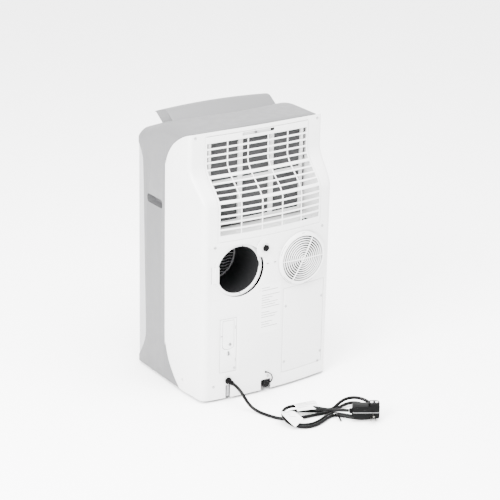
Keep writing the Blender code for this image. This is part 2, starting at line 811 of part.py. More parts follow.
def build_drains():
    x, z = DRAIN_HIGH
    face = back_y(x, z)
    spout = turned("upper_drain_spout", ring_profile(DRAIN_R, 0.0120, face - 0.030, face + 0.0015),
                   1, (x, z), 20)
    finish(spout, WHITE, 0.4)
    plug = turned("upper_drain_plug", [
        (0.0, face - 0.015), (DRAIN_R - TOUCH, face - 0.015), (DRAIN_R - TOUCH, face + 0.0018),
        (0.0105, face + 0.0018), (0.0105, face + 0.0068), (0.0, face + 0.0068)], 1, (x, z), 6)
    put_origin(finish(plug, DARK, 0.7), (x, face, z))

    x, z = DRAIN_LOW
    face = back_y(x, z)
    spout = turned("lower_drain_spout", ring_profile(0.0035, 0.0055, face - 0.045, face - 0.004),
                   1, (x, z), 16)
    join(spout, box("boss", (x - 0.010, face - 0.055, z - 0.009), (x + 0.010, face - 0.040, TRAY_Z - TOUCH)))
    finish(spout, WHITE, 0.5)
    cap = turned("lower_drain_cap", [
        (0.0058, face - 0.022), (0.0070, face - 0.022), (0.0070, face - 0.001), (0.0055, face + 0.0005),
        (0.0, face + 0.0005), (0.0, face - 0.0035), (0.0058, face - 0.0035)], 1, (x, z), 20)
    put_origin(finish(cap, DARK, 0.65), (x, face, z))
    strap_y = face - 0.028
    strap = turned("drain_cap_strap", ring_profile(0.0058, 0.0075, strap_y - 0.002, strap_y + 0.002),
                   1, (x, z), 20)
    finish(strap, DARK, 0.7)


# ================================================================ air outlet and hood
def build_hood():
    def arch(x):
        return HOOD_ARCH * (1 - (x / HOOD_HALF) ** 2)

    profile = [HOOD_BACK, HOOD_RIDGE, (-0.121, 0.7445), HOOD_TIP]

    def place(x, k, side):
        y, z = profile[k]
        before = profile[max(0, k - 1)]
        after = profile[min(len(profile) - 1, k + 1)]
        along = Vector((after[0] - before[0], after[1] - before[1])).normalized()
        drop = side * HOOD_PLATE
        return (x, y + along.y * drop, z + arch(x) + along.x * drop)

    columns = spread(-HOOD_HALF, HOOD_HALF, 10)
    hood = lattice("louvre_hood", columns, range(len(profile)), place)
    wall = [(-0.050, 0.7225), (-0.0915, 0.7470), (-0.120, 0.7425), (-0.1450, 0.7335),
            (-0.111, 0.7120), (-0.110, 0.7020), (-0.058, 0.7060), (-0.047, 0.7080)]
    for side in (-1, 1):
        low, high = sorted((side * HOOD_HALF, side * (HOOD_HALF - 0.003)))
        join(hood, prism("wall", wall, 0, low, high))
        low, high = sorted((side * (HOOD_HALF - 0.001), side * (OUTLET_HALF + 0.001)))
        join(hood, rod("pin", 0.0030, 0, low, high, HOOD_PIVOT, 12))
    put_origin(finish(hood, GREY, 0.42), (0.0, *HOOD_PIVOT))
    for side, name in ((1, "hood_bearing_left"), (-1, "hood_bearing_right")):
        low, high = sorted((side * (OUTLET_HALF - 0.0005), side * (OUTLET_HALF + 0.006)))
        outline = [(-0.060, 0.690), (-0.043, 0.690), (-0.043, 0.7190), (-0.060, 0.7175)]
        bearing = prism(name, outline, 0, low, high)
        carve(bearing, rod("bore", 0.0030 + RUNNING, 0, -0.3, 0.3, HOOD_PIVOT, 16))
        finish(bearing, PALE, 0.5)


def build_outlet():
    half = OUTLET_HALF - 0.017
    low = 0.612
    high = 0.676
    duct = box("outlet_duct", (-half, -0.140, low), (half, -0.058, high))
    carve(duct, box("cut", (-half + 0.002, -0.138, low - 0.01), (half - 0.002, -0.060, high + 0.01)))
    middle = (-0.140 - 0.058) / 2
    for k in range(VANE_COUNT):
        x = (k - (VANE_COUNT - 1) / 2) * VANE_PITCH
        join(duct, box("bar", (x - 0.004, -0.139, low), (x + 0.004, -0.059, low + 0.004)))
        carve(duct, rod("bore", 0.0018 + RUNNING, 2, 0.5, low + 0.02, (x, middle), 12))
    finish(duct, DARK, 0.6)
    for k in range(VANE_COUNT):
        x = (k - (VANE_COUNT - 1) / 2) * VANE_PITCH
        bottom = low + 0.008
        vane = box("deflector_vane_%d" % (k + 1), (x - VANE_THICKNESS / 2, middle - VANE_LENGTH / 2, bottom),
                   (x + VANE_THICKNESS / 2, middle + VANE_LENGTH / 2, bottom + VANE_HEIGHT))
        join(vane, rod("pin", 0.0018, 2, low + 0.0005, bottom + VANE_HEIGHT - 0.002, (x, middle), 12))
        put_origin(finish(vane, GREY, 0.45), (x, middle, bottom))


# ================================================================ controls
def build_controls():
    low, high = PANEL_Z
    bezel_y = front_y(PANEL_HALF) - 0.0002
    bezel = box("control_panel", (-PANEL_HALF, bezel_y, low), (PANEL_HALF, bezel_y + 0.003, high))
    middle = (low + high) / 2
    window = (-0.072, -0.020)
    carve(bezel, box("cut", (window[0], -0.25, middle - 0.012), (window[1], -0.10, middle + 0.012)))
    places = [BUTTON_FIRST_X + k * BUTTON_PITCH for k in range(BUTTON_COUNT)]
    for x in places:
        carve(bezel, rod("cut", BUTTON_R + RUNNING, 1, -0.25, -0.10, (x, middle), 12))
    finish(bezel, PALE, 0.3)
    glass = box("display_window", (window[0] + TOUCH, bezel_y + 0.0005, middle - 0.012 + TOUCH),
                (window[1] - TOUCH, bezel_y + 0.0025, middle + 0.012 - TOUCH))
    finish(glass, DARK, 0.1)
    names = ("power_button", "mode_button", "fan_button", "timer_button")
    for name, x in zip(names, places):
        top = bezel_y - BUTTON_PROUD
        button = turned(name, [(0.0, top + 0.0002), (BUTTON_R - 0.0006, top), (BUTTON_R, top + 0.0006),
                               (BUTTON_R, bezel_y + 0.004), (0.0, bezel_y + 0.004)], 1, (x, middle), 12)
        put_origin(finish(button, GREY, 0.4), (x, bezel_y, middle))
    board = box("control_board", (-PANEL_HALF + 0.006, bezel_y + 0.0065, low + 0.002),
                (PANEL_HALF - 0.006, bezel_y + 0.0081, high - 0.002))
    finish(board, (0.05, 0.22, 0.10), 0.5)


# ================================================================ base and casters
def tray_outline():
    inset = WALL + 0.0015
    back = [point for point in back_outline(0.06, inset) if point[1] > CREASE_Y - 0.02]
    front = [point for point in front_outline(inset) if point[1] < -0.10]
    return back + list(reversed(front))


def caster_places():
    return (("rear_left", CASTER_X, CASTER_Y), ("rear_right", -CASTER_X, CASTER_Y),
            ("front_left", CASTER_X, -CASTER_Y), ("front_right", -CASTER_X, -CASTER_Y))


def build_base_tray():
    tray = prism("base_tray", tray_outline(), 2, TRAY_Z, TRAY_RIM_Z)
    inner = [(x * TRAY_RIM, y * TRAY_RIM) for x, y in tray_outline()]
    carve(tray, prism("cut", inner, 2, TRAY_Z + TRAY_FLOOR, TRAY_RIM_Z + 0.02))
    for _, x, y in caster_places():
        carve(tray, rod("bore", CASTER_STEM_R + RUNNING, 2, 0.0, TRAY_RIM_Z, (x, y), 16))
    carve(tray, box("cut", (CORD_EXIT[0] - 0.014, BACK_LOW_Y - 0.038, TRAY_Z + TRAY_FLOOR + 0.0005),
                    (CORD_EXIT[0] + 0.014, BACK_LOW_Y + 0.017, TRAY_RIM_Z + 0.01)))
    return finish(tray, DARK, 0.6)


def build_casters():
    cheek = 0.0035
    gap = CASTER_WIDTH + 0.002
    for name, x, y in caster_places():
        axle_y = y - CASTER_TRAIL
        top = TRAY_Z - 0.001
        half = gap / 2 + cheek
        outline = [(x - half, 0.012), (x - gap / 2, 0.012), (x - gap / 2, top - 0.0035),
                   (x + gap / 2, top - 0.0035), (x + gap / 2, 0.012), (x + half, 0.012),
                   (x + half, top), (x - half, top)]
        fork = prism("caster_fork_" + name, outline, 1, axle_y - 0.010, y + 0.009)
        join(fork, rod("stem", CASTER_STEM_R, 2, top - 0.002, TRAY_Z + 0.016, (x, y), 16))
        join(fork, rod("axle", CASTER_AXLE_R, 0, x - half + 0.001, x + half - 0.001,
                       (axle_y, CASTER_R), 12))
        put_origin(finish(fork, DARK, 0.5), (x, y, TRAY_Z))
        edge = CASTER_WIDTH / 2
        wheel = turned("caster_wheel_" + name, [
            (CASTER_AXLE_R + RUNNING, x - edge), (CASTER_R - 0.002, x - edge), (CASTER_R, x - edge + 0.002),
            (CASTER_R, x + edge - 0.002), (CASTER_R - 0.002, x + edge), (CASTER_AXLE_R + RUNNING, x + edge)],
            0, (axle_y, CASTER_R), 20)
        put_origin(finish(wheel, (0.12, 0.12, 0.125), 0.6), (x, axle_y, CASTER_R))


# ================================================================ inside
def squirrel_cage(name, centre, axis, radius, width):
    """Blower wheel: a cage of blades between two rims, on a hub disc with a bored boss."""
    others = [i for i in range(3) if i != axis]
    start = centre[axis] - width / 2
    levels = [start, start + 0.004, start + width - 0.004, start + width]
    angles = [2 * math.pi * k / (2 * BLADES) for k in range(2 * BLADES)]

    def place(angle, level, side):
        reach = radius - side * 0.010
        point = [0.0, 0.0, 0.0]
        point[axis] = level
        point[others[0]] = centre[others[0]] + reach * math.cos(angle)
        point[others[1]] = centre[others[1]] + reach * math.sin(angle)
        return point

    cage = lattice(name, angles, levels, place, lambda i, j: j == 1 and i % 2 == 1, wrap=True)
    plane = (centre[others[0]], centre[others[1]])
    bore = SHAFT_R + RUNNING
    join(cage, turned("hub", [
        (bore, start), (radius - 0.008, start), (radius - 0.008, start + 0.003),
        (0.012, start + 0.003), (0.012, start + 0.020), (bore, start + 0.020)], axis, plane, 16))
    return put_origin(finish(cage, (0.30, 0.30, 0.31), 0.5), centre)


def motor(name, centre, axis, radius, low, high, shaft_end, foot_z):
    """Blower motor with its shaft, and a foot that reaches up or down to the deck."""
    others = [i for i in range(3) if i != axis]
    plane = (centre[others[0]], centre[others[1]])
    body = rod(name, radius, axis, low, high, plane, 24)
    join(body, rod("shaft", SHAFT_R, axis, high - 0.004, shaft_end, plane, 16))
    start = [c - MOTOR_FOOT / 2 for c in centre]
    end = [c + MOTOR_FOOT / 2 for c in centre]
    start[axis], end[axis] = low + 0.010, high - 0.010
    start[2], end[2] = sorted((foot_z, centre[2] + math.copysign(radius * 0.8, foot_z - centre[2])))
    join(body, box("foot", start, end))
    return finish(body, STEEL, 0.4, 0.8)


def drum(name, centre, axis, radius, low, high, eye):
    """Blower casing: a drum with one open eye."""
    others = [i for i in range(3) if i != axis]
    plane = (centre[others[0]], centre[others[1]])
    wall = 0.002
    return turned(name, [
        (SHAFT_R + 0.012, low), (radius, low), (radius, high), (eye, high), (eye, high - wall),
        (radius - wall, high - wall), (radius - wall, low + wall), (SHAFT_R + 0.012, low + wall)],
        axis, plane, 24)


def build_upper_air_path():
    x, y, z = BLOWER_HIGH
    low = y - BLOWER_WIDTH / 2
    high = y + BLOWER_WIDTH / 2
    squirrel_cage("upper_blower_wheel", BLOWER_HIGH, 1, BLOWER_HIGH_R, BLOWER_WIDTH)
    scroll_r = 0.0740
    scroll = drum("upper_blower_scroll", BLOWER_HIGH, 1, scroll_r, low - 0.005, high + 0.005, 0.055)
    mouth = (-0.050, 0.050, low - 0.005 + TOUCH, high + 0.005 - TOUCH)
    join(scroll, box("mouth", (mouth[0], mouth[2], z + 0.050), (mouth[1], mouth[3], 0.6115)))
    carve(scroll, box("cut", (mouth[0] + 0.002, mouth[2] + 0.002, z + 0.030),
                      (mouth[1] - 0.002, mouth[3] - 0.002, 0.62)))
    carve(scroll, rod("cut", scroll_r - 0.002, 1, low - 0.003, high + 0.003, (x, z), 24))
    finish(scroll, PALE, 0.5)
    motor("upper_blower_motor", BLOWER_HIGH, 1, 0.042, low - 0.065, low - 0.008, low + 0.018,
          DECK_Z + DECK_THICKNESS + TOUCH)
    coil("evaporator_coil", (-0.145, 0.030, DECK_Z + DECK_THICKNESS + TOUCH), (0.145, 0.066, 0.716))


def coil(name, low, high):
    """Finned heat exchanger: a fin pack with tube bends standing out of one end."""
    fins = 9
    depth = 0.004
    outline = [(low[0], low[1]), (high[0], low[1]), (high[0], high[1])]
    pitch = (high[0] - low[0]) / (2 * fins + 1)
    for k in range(1, 2 * fins + 1):
        x = high[0] - k * pitch
        near, far = (high[1], high[1] - depth) if k % 2 else (high[1] - depth, high[1])
        outline += [(x, near), (x, far)]
    outline.append((low[0], high[1]))
    pack = prism(name, outline, 2, low[2], high[2])
    bends = 5
    middle = (low[1] + high[1]) / 2
    for k in range(bends):
        z = low[2] + (high[2] - low[2]) * (k + 0.5) / bends
        bend = turned("bend", ring_profile(0.006, 0.012, middle - 0.003, middle + 0.003),
                      1, (high[0], z), 12)
        join(pack, bend)
    return finish(pack, (0.62, 0.63, 0.64), 0.35, 0.9)


def build_lower_air_path():
    x, y, z = BLOWER_LOW
    low = x - BLOWER_WIDTH / 2
    high = x + BLOWER_WIDTH / 2
    squirrel_cage("lower_blower_wheel", BLOWER_LOW, 0, BLOWER_LOW_R, BLOWER_WIDTH)
    scroll_r = 0.0665
    scroll = drum("lower_blower_scroll", BLOWER_LOW, 0, scroll_r, low - 0.005, high + 0.005, 0.048)
    mouth_z = (PORT_Z - 0.045, PORT_Z + 0.020)
    join(scroll, box("mouth", (low - 0.005 + TOUCH, y + 0.040, mouth_z[0]),
                     (high + 0.005 - TOUCH, DUCT_END_Y - TOUCH, mouth_z[1])))
    hanger = (low - 0.002, y - 0.020, z + scroll_r - 0.006)
    join(scroll, box("hanger", hanger, (low + 0.010, y + 0.020, DECK_Z - TOUCH)))
    carve(scroll, box("cut", (low - 0.003, y + 0.020, mouth_z[0] + 0.002),
                      (high + 0.003, 0.10, mouth_z[1] - 0.002)))
    carve(scroll, rod("cut", scroll_r - 0.002, 0, low - 0.003, high + 0.003, (y, z), 24))
    finish(scroll, PALE, 0.5)
    motor("lower_blower_motor", BLOWER_LOW, 0, 0.036, low - 0.062, low - 0.008, low + 0.018, DECK_Z - TOUCH)
    end = COLLAR_FRONT_Y - TOUCH
    duct = turned("exhaust_duct", [
        (0.0, DUCT_END_Y), (PORT_R + DUCT_WALL, DUCT_END_Y), (PORT_R + DUCT_WALL, end), (PORT_R, end),
        (PORT_R, DUCT_END_Y + DUCT_WALL), (0.0, DUCT_END_Y + DUCT_WALL)], 1, (PORT_X, PORT_Z), 32)
    carve(duct, box("cut", (low - 0.001, 0.0, mouth_z[0] + 0.003),
                    (high + 0.001, DUCT_END_Y + 0.02, mouth_z[1] - 0.003)))
    finish(duct, DARK, 0.55)
    coil("condenser_coil", (-0.142, 0.112, TRAY_Z + TRAY_FLOOR + TOUCH), (0.070, 0.148, 0.288))


def build_refrigeration():
    x, y = COMPRESSOR
    floor = TRAY_Z + TRAY_FLOOR
    foot = floor + 0.010
    top = foot + COMPRESSOR_HEIGHT
    body = turned("compressor", [
        (0.0, foot), (COMPRESSOR_R + 0.012, foot), (COMPRESSOR_R + 0.012, foot + 0.003),
        (COMPRESSOR_R, foot + 0.012), (COMPRESSOR_R, top - 0.030), (COMPRESSOR_R * 0.8, top - 0.008),
        (COMPRESSOR_R * 0.35, top), (0.0, top)], 2, (x, y), 20)
    for k in range(3):
        angle = math.radians(30 + 120 * k)
        reach = COMPRESSOR_R + 0.002
        place = (x + reach * math.cos(angle), y + reach * math.sin(angle))
        join(body, rod("foot", 0.008, 2, floor + TOUCH, foot + 0.001, place, 12))
    finish(body, DARK, 0.35)
    pipe = tube("discharge_pipe", [
        (x + 0.030, y + 0.015, top - 0.0015), (x + 0.030, y + 0.017, top + 0.012),
        (x + 0.045, y + 0.050, top + 0.022), (0.020, 0.060, 0.260),
        (0.040, 0.090, 0.230), (0.040, 0.1105, 0.230)], 0.004, 0.014)
    finish_curve(pipe, COPPER, 0.3)
    deck = box("divider_deck", (-HALF + 0.010, -0.150, DECK_Z),
               (HALF - 0.010, 0.100, DECK_Z + DECK_THICKNESS))
    finish(deck, PALE, 0.5)


# ================================================================ power cord
def behind(points):
    """Places of the free cord, from Y measured off the lower back."""
    return [(x, BACK_LOW_Y + y, z) for x, y, z in points]


def build_cord():
    face = back_y(*CORD_EXIT)
    flange = back_y(CORD_EXIT[0] - 0.010, CORD_EXIT[1]) + TOUCH
    end = BACK_LOW_Y + CORD_ROUTE[0][1] - TOUCH
    relief = turned("strain_relief", [
        (0.0, face - 0.010), (0.0082, face - 0.010), (0.0082, flange), (0.0100, flange),
        (0.0100, flange + 0.002), (0.0068, flange + 0.004), (0.0056, end), (0.0, end)], 1, CORD_EXIT, 16)
    finish(relief, DARK, 0.6)
    finish_curve(tube("power_cord", behind(CORD_ROUTE), CORD_R, 0.012), DARK, 0.5)
    outline = []
    for (x, y, radius), start in ((HANK_LEFT, -90), (HANK_RIGHT, 90)):
        for step in range(9):
            angle = math.radians(start + 180 * step / 8)
            outline.append((x + radius * math.cos(angle), BACK_LOW_Y + y + radius * math.sin(angle)))
    hank = prism("cord_hank", outline, 2, TOUCH, HANK_HEIGHT)
    near = BACK_LOW_Y + HANK_RIGHT[1] - HANK_RIGHT[2] - 0.01
    carve(hank, box("cut", (-0.30, near, HANK_LOW_HEIGHT), (HANK_LOW_X, near + 0.20, 0.10)))
    finish(hank, DARK, 0.5)
    finish_curve(tube("cord_tail", behind(TAIL_ROUTE), CORD_R, 0.012), DARK, 0.5)


def build_plug():
    turn = Matrix.Translation(behind([PLUG_CENTRE])[0]) @ Matrix.Rotation(PLUG_TURN, 4, "Z")
    length, depth, height = PLUG_SIZE
    plug = box("plug", (-length / 2, -depth / 2, -height / 2), (length / 2, depth / 2, height / 2))
    raised = length / 2 - 0.030
    join(plug, box("head", (-length / 2 - 0.0002, -depth / 2 + 0.0005, height / 2 - 0.002),
                   (-raised, depth / 2 - 0.0005, height / 2 + 0.007)))
    for x in (-length / 2 + 0.012, -length / 2 + 0.0247):
        join(plug, box("prong", (x - 0.0008, depth / 2 - 0.002, -0.0165),
                       (x + 0.0008, depth / 2 + 0.017, -0.0105)))
    reach = length / 2
    join(plug, rod("boot", 0.0065, 0, reach - 0.002, reach + 0.008, (0.0, 0.0), 12))
    names = ("plug_reset_button", "plug_test_button")
    for name, x in zip(names, (-length / 2 + 0.008, -length / 2 + 0.021)):
        top = height / 2 + 0.007
        carve(plug, rod("well", 0.0042 + RUNNING, 2, top - 0.004, top + 0.01, (x, 0.0), 16))
        button = rod(name, 0.0042, 2, top - 0.0025, top + 0.0016, (x, 0.0), 16)
        button.data.transform(turn)
        centre = turn @ Vector((x, 0.0, top))
        put_origin(finish(button, GREY, 0.4), centre)
    plug.data.transform(turn)
    finish(plug, DARK, 0.45)


build_rear_shell()
build_side_and_top_frame()
build_front_panel()
build_service_panel()
build_cord_cover()
build_rear_grille()
build_filter()
build_filter_bay()
build_exhaust_port()
build_vent_cover()
build_drains()
build_hood()
build_outlet()
build_controls()
build_base_tray()
build_casters()
build_upper_air_path()
build_lower_air_path()
build_refrigeration()
build_cord()
build_plug()
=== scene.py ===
"""Looks of the portable air conditioner, built round its CAD frame. Metres, +Z up, its back at +Y."""
import math

import bmesh
import bpy
from mathutils import Matrix, Vector


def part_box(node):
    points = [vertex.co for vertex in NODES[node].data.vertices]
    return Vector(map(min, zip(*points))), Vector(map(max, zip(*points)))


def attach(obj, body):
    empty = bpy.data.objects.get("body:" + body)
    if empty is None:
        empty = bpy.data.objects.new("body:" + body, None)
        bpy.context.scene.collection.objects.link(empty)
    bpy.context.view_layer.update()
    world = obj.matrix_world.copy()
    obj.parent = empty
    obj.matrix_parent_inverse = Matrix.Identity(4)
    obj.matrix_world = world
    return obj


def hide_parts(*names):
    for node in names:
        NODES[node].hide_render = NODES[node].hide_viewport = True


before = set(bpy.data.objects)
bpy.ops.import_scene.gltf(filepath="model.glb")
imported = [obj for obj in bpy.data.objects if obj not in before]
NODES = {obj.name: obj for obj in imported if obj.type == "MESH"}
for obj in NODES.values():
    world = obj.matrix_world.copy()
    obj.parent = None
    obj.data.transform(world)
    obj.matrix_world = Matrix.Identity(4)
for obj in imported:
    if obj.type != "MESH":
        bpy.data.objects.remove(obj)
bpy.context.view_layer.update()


def centre_of(node):
    low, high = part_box(node)
    return (low + high) / 2


# ---------------------------------------------------------------- measures of the CAD frame
SHELL_LOW, SHELL_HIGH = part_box("rear_shell")
FRAME_LOW, FRAME_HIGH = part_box("side_and_top_frame")
GRILLE_LOW, GRILLE_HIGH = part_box("rear_grille")
HALF = SHELL_HIGH.x
SHELL_TOP = SHELL_HIGH.z + 0.0002
SKIRT_Z = SHELL_LOW.z
BACK_LOW_Y = SHELL_HIGH.y
FRONT_Y = FRAME_LOW.y
TOP_LEVEL = FRAME_HIGH.z
PORT = centre_of("exhaust_collar")
VENT = centre_of("intake_vent_cover")
VENT_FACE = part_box("intake_vent_cover")[1].y
HOOD_LOW, HOOD_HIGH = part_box("louvre_hood")

# ---------------------------------------------------------------- the casing's shape, as in the CAD part
WALL = 0.0026
SEAM = 0.0008
BACK_TOP_Y = 0.1077
BACK_TOP_BOW = 0.0077
BACK_LOW_BOW = 0.0197
FRONT_BOW = 0.018
SWELL_TOP = 0.650
SWELL_LOW = 0.550
CREASE_Y = 0.0825
FLANK_TAPER = 0.006
CORNER_TOP_R = 0.012
CORNER_LOW_R = 0.020
CORNER_FRONT_R = 0.030
EDGE_TOP_R = 0.030
TOP_CROWN = 0.007
KNEE_Y = -0.035
SLOPE = 0.40
NOSE_R = 0.022
HOOD_HALF = 0.165
HOOD_ARCH = 0.006
HOOD_PLATE = 0.003
HOOD_PIVOT = (-0.052, 0.712)
HOOD_BACK = (-0.046, 0.723)
HOOD_RIDGE = (-0.092, 0.750)
HOOD_TIP = (-0.149, 0.734)
OUTLET_HALF = 0.169
OUTLET_FRONT_Y = -0.152
OUTLET_BACK_Y = -0.040
DISH_DEPTH = 0.011
DISH_LENGTH = 0.042
PORT_R = 0.0657
COLLAR_R = 0.0735
VENT_R = 0.0750
SERVICE_X = (-0.183, -0.042)
SERVICE_Z = (0.045, 0.291)
COVER_X = (0.1055, 0.1525)
COVER_Z = (0.0845, 0.2375)
FLAP_X = (0.1130, 0.1450)
FLAP_Z = (0.1500, 0.2320)
CORD_EXIT = (0.128, 0.058)
DRAIN_HIGH = (0.022, 0.422)
DRAIN_LOW = (0.010, 0.026)
PANEL_HALF = 0.085
PANEL_Z = (0.595, 0.635)
HANDLE_Y = (-0.113, -0.034)
HANDLE_Z = (0.497, 0.521)
HANDLE_DEPTH = 0.024


# ================================================================ camera
CAMERA_AT = Vector((2.48558, 3.79273, 2.06158))
CAMERA_RIGHT = Vector((-0.83508, 0.54979, 0.01957))
CAMERA_UP = Vector((-0.17867, -0.30469, 0.93554))
CAMERA_AHEAD = Vector((-0.52031, -0.77775, -0.35267))
camera_data = bpy.data.cameras.new("camera")
camera_data.lens = 127.07
camera_data.sensor_width = 36.0
camera = bpy.data.objects.new("camera", camera_data)
bpy.context.scene.collection.objects.link(camera)
camera.matrix_world = Matrix((
    (CAMERA_RIGHT.x, CAMERA_UP.x, -CAMERA_AHEAD.x, CAMERA_AT.x),
    (CAMERA_RIGHT.y, CAMERA_UP.y, -CAMERA_AHEAD.y, CAMERA_AT.y),
    (CAMERA_RIGHT.z, CAMERA_UP.z, -CAMERA_AHEAD.z, CAMERA_AT.z),
    (0.0, 0.0, 0.0, 1.0)))
bpy.context.scene.camera = camera


# ================================================================ materials
def new_material(name, colour, roughness, metallic=0.0):
    material = bpy.data.materials.new(name)
    material.use_nodes = True
    shader = material.node_tree.nodes["Principled BSDF"]
    shader.inputs["Base Color"].default_value = (*colour, 1.0)
    shader.inputs["Roughness"].default_value = roughness
    shader.inputs["Metallic"].default_value = metallic
    return material, material.node_tree, shader


def noise(tree, scale, detail=3.0):
    """Noise texture in the object's own metres."""
    places = tree.nodes.new("ShaderNodeTexCoord")
    texture = tree.nodes.new("ShaderNodeTexNoise")
    texture.inputs["Scale"].default_value = scale
    texture.inputs["Detail"].default_value = detail
    tree.links.new(places.outputs["Object"], texture.inputs["Vector"])
    return texture.outputs["Fac"]


def span(tree, value, low, high):
    """Spread a texture's middle range over low to high."""
    spread_node = tree.nodes.new("ShaderNodeMapRange")
    spread_node.inputs["From Min"].default_value = 0.3
    spread_node.inputs["From Max"].default_value = 0.7
    spread_node.inputs["To Min"].default_value = low
    spread_node.inputs["To Max"].default_value = high
    tree.links.new(value, spread_node.inputs["Value"])
    return spread_node.outputs["Result"]


def blend_colours(tree, factor, first, second):
    mix = tree.nodes.new("ShaderNodeMix")
    mix.data_type = "RGBA"
    mix.inputs["A"].default_value = (*first, 1.0)
    mix.inputs["B"].default_value = (*second, 1.0)
    tree.links.new(factor, mix.inputs["Factor"])
    return mix.outputs["Result"]


def bump(tree, shader, height, distance, strength=1.0):
    node = tree.nodes.new("ShaderNodeBump")
    node.inputs["Strength"].default_value = strength
    node.inputs["Distance"].default_value = distance
    tree.links.new(height, node.inputs["Height"])
    tree.links.new(node.outputs["Normal"], shader.inputs["Normal"])


def moulded(name, colour, roughness, grain=0.00004, grain_scale=1500.0, shade=0.97, specular=0.5):
    """Moulded plastic or rubber: fine grain, a faint cloudy tone and uneven gloss."""
    material, tree, shader = new_material(name, colour, roughness)
    shader.inputs["Specular IOR Level"].default_value = specular
    dimmer = tuple(channel * shade for channel in colour)
    cloud = span(tree, noise(tree, 9.0), 0.0, 1.0)
    tree.links.new(blend_colours(tree, cloud, colour, dimmer), shader.inputs["Base Color"])
    gloss = span(tree, noise(tree, 40.0, 5.0), roughness - 0.05, roughness + 0.06)
    tree.links.new(gloss, shader.inputs["Roughness"])
    bump(tree, shader, noise(tree, grain_scale, 2.0), grain, 0.6)
    return material


def metal(name, colour, roughness):
    material, tree, shader = new_material(name, colour, roughness, 1.0)
    gloss = span(tree, noise(tree, 260.0, 6.0), roughness - 0.10, roughness + 0.12)
    tree.links.new(gloss, shader.inputs["Roughness"])
    dull = tuple(channel * 0.75 for channel in colour)
    stain = span(tree, noise(tree, 60.0, 5.0), 0.0, 1.0)
    tree.links.new(blend_colours(tree, stain, colour, dull), shader.inputs["Base Color"])
    bump(tree, shader, noise(tree, 900.0, 2.0), 0.00003, 0.5)
    return material


def bands(tree, period, direction, kind="SIN"):
    places = tree.nodes.new("ShaderNodeTexCoord")
    wave = tree.nodes.new("ShaderNodeTexWave")
    wave.bands_direction = direction
    wave.wave_profile = kind
    wave.inputs["Scale"].default_value = 2 * math.pi / (20 * period)
    wave.inputs["Distortion"].default_value = 0.0
    tree.links.new(places.outputs["Object"], wave.inputs["Vector"])
    return wave.outputs["Fac"]


def combine(tree, first, second, operation):
    node = tree.nodes.new("ShaderNodeMath")
    node.operation = operation
    tree.links.new(first, node.inputs[0])
    if isinstance(second, float):
        node.inputs[1].default_value = second
    else:
        tree.links.new(second, node.inputs[1])
    return node.outputs["Value"]


def woven(name, dark, light, period):
    """Fine net: crossing threads with dark holes between them."""
    material, tree, shader = new_material(name, dark, 0.8)
    shader.inputs["Specular IOR Level"].default_value = 0.1
    threads = combine(tree, bands(tree, period, "X"), bands(tree, period, "Z"), "MAXIMUM")
    patchy = combine(tree, threads, span(tree, noise(tree, 35.0, 4.0), 0.55, 1.0), "MULTIPLY")
    tree.links.new(blend_colours(tree, patchy, dark, light), shader.inputs["Base Color"])
    bump(tree, shader, threads, 0.0002)
    return material


def finned(name, dark, light, period, direction="X"):
    """Stacked thin metal fins, with painted shade in the dark stripes between them."""
    material, tree, shader = new_material(name, light, 0.35, 0.9)
    edges = bands(tree, period, direction)
    uneven = combine(tree, edges, span(tree, noise(tree, 25.0, 4.0), 0.7, 1.0), "MULTIPLY")
    tree.links.new(blend_colours(tree, uneven, dark, light), shader.inputs["Base Color"])
    bump(tree, shader, edges, 0.0004)
    return material


def honeycomb(name, colour, pitch):
    """Black moulding with small raised cells; the cell walls are painted lighter as lit highlights and the hollows keep
    the dark colour as painted shade.
    """
    material, tree, shader = new_material(name, colour, 0.45)
    shader.inputs["Specular IOR Level"].default_value = 0.1
    places = tree.nodes.new("ShaderNodeTexCoord")
    cells = tree.nodes.new("ShaderNodeTexVoronoi")
    cells.feature = "DISTANCE_TO_EDGE"
    cells.inputs["Scale"].default_value = 1 / pitch
    cells.inputs["Randomness"].default_value = 0.15
    tree.links.new(places.outputs["Object"], cells.inputs["Vector"])
    walls = span(tree, cells.outputs["Distance"], 1.0, 0.0)
    lit = tuple(min(1.0, channel * 4.5) for channel in colour)
    tree.links.new(blend_colours(tree, walls, colour, lit), shader.inputs["Base Color"])
    bump(tree, shader, walls, 0.0005)
    return material


WHITE = moulded("white_plastic", (0.56, 0.56, 0.558), 0.32)
# Darker copy of the white plastic for the filter frame, filter bay and lower drain spout: painted shade on parts set
# inside the casing.
WHITE_SHADED_INSIDE = moulded("white_plastic_shaded_inside", (0.50, 0.50, 0.497), 0.5)
GREY = moulded("grey_plastic", (0.085, 0.085, 0.087), 0.46, 0.00006, 1100.0, 0.97, 0.25)
PALE = moulded("pale_grey_plastic", (0.25, 0.25, 0.257), 0.32, specular=0.35)
BLACK = moulded("black_plastic", (0.0012, 0.0012, 0.0013), 0.38, specular=0.045)
RUBBER = moulded("black_rubber", (0.0016, 0.0016, 0.0017), 0.5, 0.00008, 700.0, 0.85, 0.04)
CORD_JACKET = moulded("cord_jacket", (0.0012, 0.0012, 0.0013), 0.34, 0.00006, 500.0, 0.85, 0.07)
TREAD = moulded("wheel_tread", (0.012, 0.012, 0.0125), 0.6, 0.00010, 600.0, 0.8, 0.15)
# Near-black plastic for the base tray and small marks; also painted shade on the dark pieces put behind seams and in
# slots and wells.
DARK_PLASTIC_AND_SHADE = moulded("dark_plastic_and_painted_shade", (0.006, 0.006, 0.0064), 0.6, specular=0.12)
KEY = moulded("key_plastic", (0.16, 0.16, 0.163), 0.4, specular=0.3)
